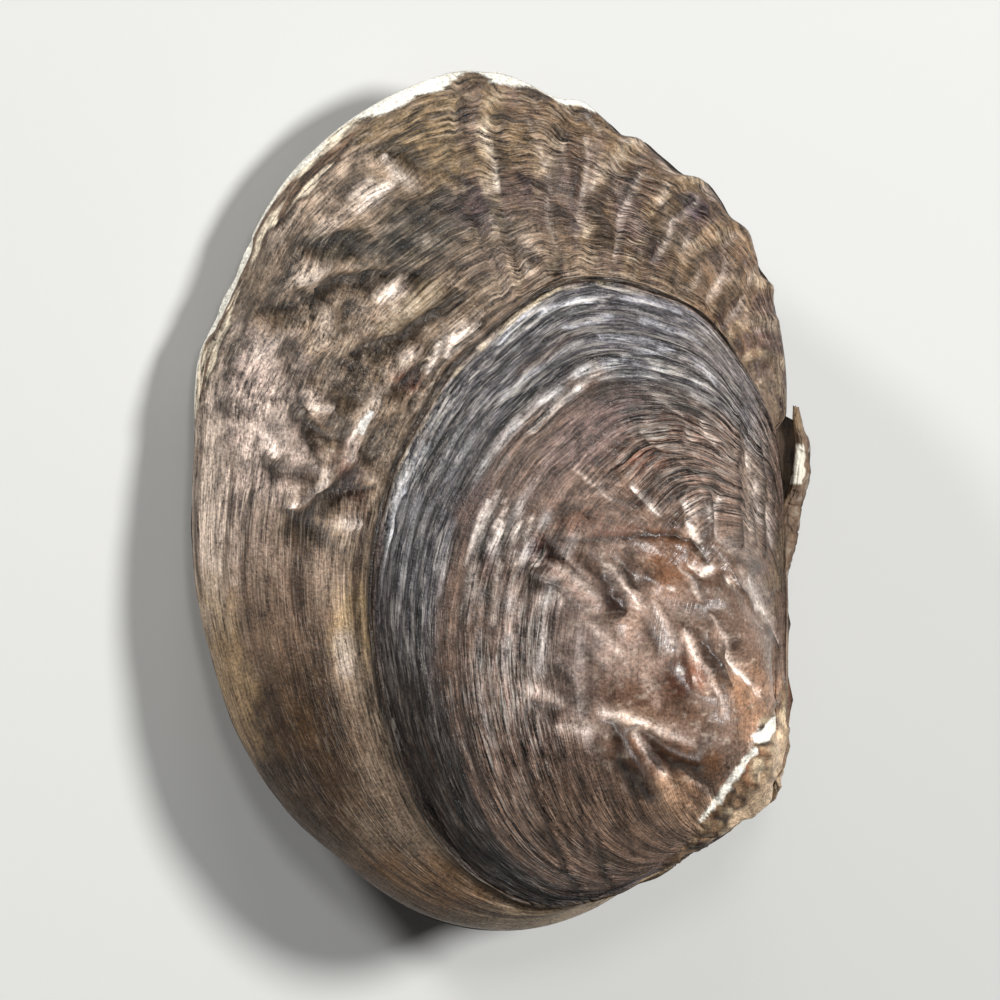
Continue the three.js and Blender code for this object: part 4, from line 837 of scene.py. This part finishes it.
# A closed mesh: one place at the start, rings of so many columns, and one place at the end. "corners" is the
# order in which every face takes its corners.
def closedMesh(name, places, columns, corners):
    end = len(places) - 1
    ring = np.arange(1, end - columns, columns)[:, None]
    k = np.arange(columns)[None, :]
    after = (k + 1) % columns
    last = end - columns
    quads = np.stack([ring + k, ring + after, ring + columns + after, ring + columns + k], -1).reshape(-1, 4)
    startFan = np.stack([0 * k, 1 + after, 1 + k], -1).reshape(-1, 3)
    endFan = np.stack([0 * k + end, last + k, last + after], -1).reshape(-1, 3)
    fans = np.vstack([startFan, endFan])[:, [corner for corner in corners if corner < 3]]
    mesh = bpy.data.meshes.new(name)
    mesh.from_pydata(places.tolist(), [], quads[:, corners].tolist() + fans.tolist())
    mesh.polygons.foreach_set("use_smooth", np.ones(len(mesh.polygons), bool))
    return mesh


# One value, colour or place for every vertex, read by the materials
def addAttribute(mesh, label, values, kind="FLOAT", field="value"):
    mesh.attributes.new(label, kind, "POINT").data.foreach_set(field, values.ravel())


# One valve: outer rings from the beak to the margin, inner rings back to a single place over the hollow
def makeValve(name, side, rows, strokes, seed):
    v = valveGrid(seed)
    skin, raised = shapeSkin(v, rows, strokes)
    for paintPart in (paintBrim, paintOlder, paintStrokes, paintLines, paintBeak, paintEdge):
        paintPart(v)
    tip = valvePlace(np.zeros(1), np.zeros(1))
    hollow = hollowPlaces(v.points)
    places = toRest(np.vstack([tip, skin.reshape(-1, 3), hollow]), side, growth["umboLean"])
    mesh = closedMesh(name, places, growth["columns"], [3, 2, 1, 0] if side > 0 else [0, 1, 2, 3])

    def addSkin(label, values, inner, *kind):
        flat = values.reshape(v.stage.size, -1)
        inside = np.broadcast_to(inner, (len(hollow), flat.shape[1]))
        addAttribute(mesh, label, np.vstack([flat[:1], flat, inside]), *kind)

    colour = np.concatenate([shadeSkin(v, raised), np.ones_like(v.colour[..., :1])], -1)
    lines, pale = lineShares(v)
    longLines = (1 - 0.8 * smooth(0.715, 0.74, v.stage)) * np.minimum(1.35 * lines, 1) * v.crowd
    addSkin("skin", colour, [*linear(skinColours["inside"]), 1], "FLOAT_COLOR", "color")
    addSkin("grow", linePlaces(v), 0.0, "FLOAT_VECTOR", "vector")
    addSkin("gloss", skinRoughness(v), 0.3)
    addSkin("lines", lines * v.crowd, 0.0)
    addSkin("dense", lines * (1 - v.crowd), 0.0)
    addSkin("long", longLines, 0.0)
    # More pale streaks on crests: painted highlight
    addSkin("pale", np.clip(pale + 0.5 * np.maximum(raised, 0), 0, 1), 0.0)
    addSkin("coarse", 1 - 0.72 * v.quiet, 0.3)
    return mesh


# The ligament: an oval band swept along the hinge, with lengthwise layers, cross cracks and a broken rear
# end, and the thin layer that joins it to the shell, darker as painted shade for the shadowed gap under the
# band.
# Path rows: along, outer edge, inner edge
ligamentShape = {
    "halfWidth": 0.85, "stations": 260, "sides": 96, "layerHalf": 0.09, "layerStations": 60, "layerSides": 24,
}
ligamentPath = [
    (6.3, -0.05, -0.6), (7.2, 0.05, -0.7), (8, 0.24, -0.75), (8.8, 0.5, -0.75), (9.6, 0.66, -0.7),
    (10.4, 0.78, -0.6), (11, 0.88, -0.3), (11.7, 1.08, 0.12), (12.4, 1.26, 0.3), (13.2, 1.28, 0.42),
    (13.9, 1.27, 0.5), (14.3, 1.2, 0.52), (14.7, 0.98, 0.46), (15.2, 0.86, 0.4), (15.8, 0.76, 0.38),
]
layerPath = [
    (10, 0.3, -1), (11, 0.4, -1.05), (12, 0.7, -1.1), (13, 0.85, -1.1), (14.2, 0.85, -1.1), (15.5, 0.5, -1),
]


# Shares along a path and turns around it, with the path's own values
def tubeGrid(path, stations, sides):
    t = np.linspace(0.0, 1.0, stations)[:, None] + np.zeros((1, sides))
    turn = np.linspace(0, 2 * np.pi, sides, endpoint=False)[None, :] + 0 * t
    return (t, turn, *np.moveaxis(curveAt(path, t), -1, 0))


# A tube of rings, closed at the middle of its first and last ring
def tubeMesh(name, grid):
    places = np.vstack([grid[0].mean(0), grid.reshape(-1, 3), grid[-1].mean(0)])
    return closedMesh(name, toRest(places), grid.shape[1], [0, 3, 2, 1])


# The band: x is its middle + half its width * cos(turn), z its half height * sin(turn), both swollen by
# 1 + layers - cracks
def makeLigament():
    s = ligamentShape
    t, turn, along, outer, inner = tubeGrid(ligamentPath, s["stations"], s["sides"])
    taper = smooth(-0.02, 0.1, t) * (1 - 0.3 * smooth(0.93, 1.0, t))
    half = (outer - inner) / 2 * (0.35 + 0.65 * taper)
    ragged = 0.06 * softNoise(along * 2.2, turn * 0.6, 303)
    ragged = ragged + 0.03 * softNoise(along * 5 + turn, turn * 1.7 + along, 304)
    layers = 0.05 * softNoise(along * 0.5, turn * 5 + 20, 301)
    layers = layers + 0.04 * softNoise(along * 1.1, turn * 11 + 40, 302)
    bend = along + 0.25 * softNoise(turn * 1.5, along * 0.7, 312)
    cracks = 0.08 * smooth(0.45, 0.65, softNoise(bend * 4.5, turn * 0.7, 306))
    cracks = cracks + 0.04 * smooth(0.4, 0.6, softNoise(bend * 9, turn * 1.3, 305))
    swell = 1 + layers - cracks
    x = (outer + inner) / 2 + half * np.cos(turn) * (swell + ragged)
    z = s["halfWidth"] * (0.3 + 0.7 * taper) * np.sin(turn) * swell
    uneven = along + 0.12 * softNoise(turn * 2, along * 0.5, 307) * smooth(0.9, 1.0, t)
    mesh = tubeMesh("ligament_band", np.stack([x, uneven, z], -1))
    below = 1 - smooth(0.35, 0.5, np.cos(turn) + 0.12 * softNoise(along * 4, turn, 311))
    facing = smooth(-0.1, 0.1, np.cos(turn - 1.0) + 0.5 * softNoise(along * 3, turn * 2, 308))
    chip = window(along, 12.0, 12.15, 13.85, 14.1) * below * smooth(0.05, 0.2, np.sin(turn)) * facing
    scales = smooth(0.1, 0.5, softNoise(bend * 4, turn * 2.4 + along, 309)) * smooth(0.3, 0.8, np.cos(turn))
    addAttribute(mesh, "pale", np.concatenate([[0], np.maximum(chip, 0.22 * scales).ravel(), [0]]))
    return mesh


# The torn layer: a thin oval of the same kind, narrower at both ends. Its finish is a half-bright copy of the
# ligament's, painted shade for the shadowed gap.
def makeShadedLigamentLayer():
    s = ligamentShape
    t, turn, along, outer, inner = tubeGrid(layerPath, s["layerStations"], s["layerSides"])
    ends = window(t, 0, 0.1, 0.93, 1.0)
    x = (outer + inner) / 2 + (outer - inner) / 2 * np.cos(turn) * (0.3 + 0.7 * ends)
    z = s["layerHalf"] * np.sin(turn) * (0.4 + 0.6 * ends) * (1 + 0.3 * softNoise(along * 3, x * 3, 310))
    mesh = tubeMesh("ligament_shaded_layer", np.stack([x, along, z], -1))
    addAttribute(mesh, "pale", np.zeros(len(mesh.vertices)))
    return mesh


# Node helpers. A wire is an output socket that can be added, subtracted and multiplied.
class wire:
    def __init__(self, tree, socket):
        self.tree = tree
        self.socket = socket

    def math(self, kind, other):
        node = self.tree.nodes.new("ShaderNodeMath")
        node.operation = kind
        feed(self, node.inputs[0])
        feed(other, node.inputs[1])
        return wire(self.tree, node.outputs["Value"])

    def __add__(self, other):
        return self.math("ADD", other)

    def __sub__(self, other):
        return self.math("SUBTRACT", other)

    def __mul__(self, other):
        return self.math("MULTIPLY", other)


def feed(value, socket):
    if isinstance(value, wire):
        value.tree.links.new(value.socket, socket)
    else:
        socket.default_value = value


def newMaterial(name):
    material = bpy.data.materials.new(name)
    material.use_nodes = True
    tree = material.node_tree
    return material, tree, tree.nodes["Principled BSDF"]


def objectPlaces(tree):
    return wire(tree, tree.nodes.new("ShaderNodeTexCoord").outputs["Object"])


def attribute(tree, name, output="Fac"):
    node = tree.nodes.new("ShaderNodeAttribute")
    node.attribute_name = name
    return wire(tree, node.outputs[output])


def noiseOn(tree, source, scale, detail, roughness):
    mapping = tree.nodes.new("ShaderNodeMapping")
    mapping.inputs["Scale"].default_value = scale
    feed(source, mapping.inputs["Vector"])
    noise = tree.nodes.new("ShaderNodeTexNoise")
    noise.inputs["Scale"].default_value = 1.0
    noise.inputs["Detail"].default_value = detail
    noise.inputs["Roughness"].default_value = roughness
    tree.links.new(mapping.outputs["Vector"], noise.inputs["Vector"])
    return wire(tree, noise.outputs["Fac"])


def ramp(source, low, high, start=0.0, end=1.0):
    node = source.tree.nodes.new("ShaderNodeMapRange")
    node.interpolation_type = "SMOOTHSTEP"
    node.inputs["From Min"].default_value = low
    node.inputs["From Max"].default_value = high
    node.inputs["To Min"].default_value = start
    node.inputs["To Max"].default_value = end
    feed(source, node.inputs["Value"])
    return wire(source.tree, node.outputs["Result"])


# Inputs 0, 6 and 7 are the colour mix's factor and two colours, and output 2 its result
def mixColour(tree, kind, share, a, b):
    node = tree.nodes.new("ShaderNodeMix")
    node.data_type = "RGBA"
    node.blend_type = kind
    feed(share, node.inputs[0])
    feed(a, node.inputs[6])
    feed(b, node.inputs[7])
    return wire(tree, node.outputs[2])


def addBump(tree, shader, height, depth):
    bump = tree.nodes.new("ShaderNodeBump")
    bump.inputs["Strength"].default_value = 1.0
    bump.inputs["Distance"].default_value = depth
    feed(height, bump.inputs["Height"])
    tree.links.new(bump.outputs["Normal"], shader.inputs["Normal"])


def spread(source, amount):
    return (source - 0.5) * amount


# Finish of the valves' skin: colours of the pale streaks, which are partly painted sheen, and shares of the
# bump
skinFinish = {
    "streakPale": (0.5, 0.455, 0.4, 1.0), "streakWarm": (0.44, 0.36, 0.27, 1.0), "streakShare": 0.8,
    "lineDepth": 0.00011, "grainShare": 0.5, "mottleShare": 0.8, "specular": 0.3,
}
# Noises of the valves' skin, by growth and by place: scale, detail, roughness
growthNoises = {
    "broad": ((0.12, 0.12, 3.0), 3.0, 0.6), "thin": ((0.45, 0.45, 6.0), 2.0, 0.6),
    "fibre": ((1.5, 1.5, 5.6), 2.0, 0.65), "hair": ((0.85, 0.85, 9.5), 1.5, 0.6),
    "thread": ((0.55, 0.55, 7.0), 2.0, 0.6), "groove": ((0.1, 0.1, 2.6), 2.0, 0.7),
}
objectNoises = {
    "crowded": ((2400, 420, 2400), 3.0, 0.65), "grain": ((6500, 6500, 6500), 2.0, 0.7),
    "mottle": ((650, 650, 650), 4.0, 0.65),
}


# Horny skin: the painted colour times a tone of fine lines, pale streaks over it that are partly painted
# sheen, and a bump of these lines
def valveSkin():
    f = skinFinish
    material, tree, shader = newMaterial("valve_skin")
    grow, coord = attribute(tree, "grow", "Vector"), objectPlaces(tree)
    names = ("lines", "dense", "long", "coarse", "pale", "gloss")
    lines, dense, longLines, coarse, pale, gloss = (attribute(tree, name) for name in names)
    broad, thin, fibre, hair, thread, groove = (noiseOn(tree, grow, *row) for row in growthNoises.values())
    crowded, grain, mottle = (noiseOn(tree, coord, *row) for row in objectNoises.values())
    thread = ramp(thread, 0.44, 0.56)
    cut = ramp(groove, 0.3, 0.42, 0.6, 0.0) * longLines

    tone = (spread(thin, 1.3) + spread(fibre, 1.4) + spread(hair, 2.9) + spread(thread, 0.6)) * lines
    tone = tone + spread(broad, 1.7) * longLines + spread(crowded, 2.2) * dense
    tone = tone + spread(mottle, 1.1) + spread(grain, 1.9) - cut
    tone = (tone + 1.0).math("MAXIMUM", 0.12).math("POWER", 1.3)
    toneColour = tree.nodes.new("ShaderNodeCombineColor")
    for socket in toneColour.inputs[:3]:
        feed(tone, socket)
    skin = attribute(tree, "skin", "Color")
    colour = mixColour(tree, "MULTIPLY", 1.0, skin, wire(tree, toneColour.outputs["Color"]))
    # Pale streaks along the fine lines: partly pale wear, partly painted sheen
    shortStreak = ramp(hair, 0.5, 0.64) * ramp(fibre, 0.46, 0.6) * 0.8
    longStreak = ramp(thin, 0.5, 0.62) * ramp(fibre, 0.3, 0.5, 0.2, 1.0) * longLines
    streak = (shortStreak + longStreak).math("MINIMUM", 1.0) * (pale * lines) * f["streakShare"]
    streakColour = mixColour(tree, "MIX", longLines, f["streakWarm"], f["streakPale"])
    feed(mixColour(tree, "MIX", streak, colour, streakColour), shader.inputs["Base Color"])

    rough = gloss + spread(fibre, -0.4) + spread(grain, -0.3)
    feed(rough.math("MAXIMUM", 0.2), shader.inputs["Roughness"])
    shader.inputs["Specular IOR Level"].default_value = f["specular"]
    height = (thin * 0.8 + fibre * 1.2 + thread * 0.5) * lines + broad * longLines + crowded * dense
    height = height + (grain * f["grainShare"] + mottle * f["mottleShare"]) * coarse - cut * 1.2
    addBump(tree, shader, height, f["lineDepth"])
    return material


ligamentFinish = {
    "streakDark": (0.035, 0.024, 0.017, 1), "streakPale": (0.17, 0.128, 0.095, 1),
    "blotch": (0.22, 0.17, 0.11, 1), "pit": (0.025, 0.017, 0.012, 1), "chip": (0.6, 0.56, 0.47, 1),
    "specular": 0.3, "depth": 0.0001,
}


# Dry layered brown: pale streaks on dark, blotches, dark pits, and pale where a piece has chipped off. The
# brown is tinted by a shade factor, and a factor below 1 makes a darker copy as painted shade.
def ligamentSkin(name, shade):
    f = ligamentFinish
    material, tree, shader = newMaterial(name)
    coord = objectPlaces(tree)
    streaks = noiseOn(tree, coord, (1700, 420, 1700), 4.0, 0.65)
    blotch = noiseOn(tree, coord, (800, 500, 800), 3.0, 0.6)
    grain = noiseOn(tree, coord, (4200, 4200, 4200), 3.0, 0.7)
    brown = mixColour(tree, "MIX", ramp(streaks, 0.38, 0.62), f["streakDark"], f["streakPale"])
    brown = mixColour(tree, "MIX", ramp(blotch, 0.5, 0.66, 0.0, 0.7), brown, f["blotch"])
    brown = mixColour(tree, "MIX", ramp(grain, 0.3, 0.5, 0.55, 0.0), brown, f["pit"])
    brown = mixColour(tree, "MULTIPLY", 1.0, brown, (shade, shade * 0.86, shade * 0.74, 1.0))
    brown = mixColour(tree, "MIX", attribute(tree, "pale"), brown, f["chip"])
    feed(brown, shader.inputs["Base Color"])
    feed(ramp(grain, 0.3, 0.7, 0.5, 0.8), shader.inputs["Roughness"])
    shader.inputs["Specular IOR Level"].default_value = f["specular"]
    addBump(tree, shader, streaks + grain * 0.5, f["depth"])
    return material


# The hidden valve has the same forms moved a little
def shifted(rows):
    out = []
    for k, (x1, y1, x2, y2, *rest) in enumerate(rows):
        moveX, moveY = 0.9 * math.sin(2.3 * k), 0.8 * math.cos(3.1 * k)
        out.append((x1 + moveX, y1 + moveY, x2 + moveX, y2 + moveY, *rest))
    return out


def linked(name, data):
    thing = bpy.data.objects.new(name, data)
    bpy.context.scene.collection.objects.link(thing)
    return thing


def makePiece(mesh, material):
    mesh.materials.append(material)
    mesh.update()
    piece = linked(mesh.name, mesh)
    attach(piece, "root")
    print(mesh.name, "made with", len(mesh.vertices), "vertices")
    return piece


skinMaterial = valveSkin()
strokes = brimStrokes + domeStrokes
rightValve = makeValve("right_valve_skin", 1, lumps, strokes, 100)
leftValve = makeValve("left_valve_skin", -1, shifted(lumps), shifted(strokes), 200)
for mesh, node in ((rightValve, "right_valve"), (leftValve, "left_valve")):
    piece = makePiece(mesh, skinMaterial)
    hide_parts(node)
# The layer in the gap takes a half-bright copy of the ligament's finish: painted shade
for mesh, shade in ((makeLigament(), 1.0), (makeShadedLigamentLayer(), 0.5)):
    piece = makePiece(mesh, ligamentSkin(mesh.name + "_skin", shade))
    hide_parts("ligament")
print("pieces made")

# Camera square to the valves' plane as in the photo, and soft studio light. Lights: to the side, up and
# front, size, power
studio = {
    "distance": 0.5, "widthSeen": 0.0485, "aim": (-13.9, 11.29, 4.0), "sensor": 36, "lightDistance": 0.4,
    "skyColour": (0.95, 0.97, 1.0, 1), "skyStrength": 0.06, "floorColour": (0.5, 0.5, 0.485, 1),
    "floorReach": 1.2, "floorHeight": -0.0001, "floorRoughness": 0.9,
}
lights = {
    "right": (0.8, 0.2, 0.8, 0.08, 2.1), "upperLeft": (-0.6, 0.65, 0.8, 0.06, 1.0),
    "upper": (0.1, 0.9, 0.8, 0.14, 0.15), "front": (0.1, 0.2, 1.0, 0.06, 0.3),
}


def shellToWorld(x, y, z):
    return Vector(toRest(np.array([x, y, z]), lean=growth["umboLean"]))


def makeCamera():
    x, y, z = studio["aim"]
    aim = shellToWorld(x, y, z)
    out = (shellToWorld(x, y, z + 100) - aim).normalized()
    up = (shellToWorld(x, y + 10, z) - aim).normalized()
    side = up.cross(out).normalized()
    data = bpy.data.cameras.new("camera")
    data.sensor_width = studio["sensor"]
    data.lens = studio["sensor"] * studio["distance"] / studio["widthSeen"]
    data.clip_start, data.clip_end = 0.01, 10
    camera = linked("camera", data)
    camera.matrix_world = Matrix((side, up, out)).transposed().to_4x4()
    camera.location = aim + out * studio["distance"]
    bpy.context.scene.camera = camera
    return aim, side, up, out


def makeLight(name, place, aim, size, power):
    data = bpy.data.lights.new(name, "AREA")
    data.shape = "DISK"
    data.size = size
    data.energy = power
    light = linked(name, data)
    light.location = place
    light.rotation_mode = "QUATERNION"
    light.rotation_quaternion = (aim - place).to_track_quat("-Z", "Y")


aim, side, up, out = makeCamera()
for name, (toSide, toUp, toFront, size, power) in lights.items():
    way = (side * toSide + up * toUp + out * toFront).normalized()
    makeLight(name, aim + way * studio["lightDistance"], aim, size, power)
world = bpy.data.worlds.new("studio")
world.use_nodes = True
sky = world.node_tree.nodes["Background"]
sky.inputs["Color"].default_value = studio["skyColour"]
sky.inputs["Strength"].default_value = studio["skyStrength"]
bpy.context.scene.world = world

floorMesh = bpy.data.meshes.new("floor")
reach, height = studio["floorReach"], studio["floorHeight"]
corners = [(-reach, -reach, height), (reach, -reach, height), (reach, reach, height), (-reach, reach, height)]
floorMesh.from_pydata(corners, [], [(0, 1, 2, 3)])
floor = linked("floor", floorMesh)
floorMaterial, _, floorShader = newMaterial("floor")
floorShader.inputs["Base Color"].default_value = studio["floorColour"]
floorShader.inputs["Roughness"].default_value = studio["floorRoughness"]
floorMesh.materials.append(floorMaterial)
bpy.context.scene.view_settings.view_transform = "Standard"
print("studio made")
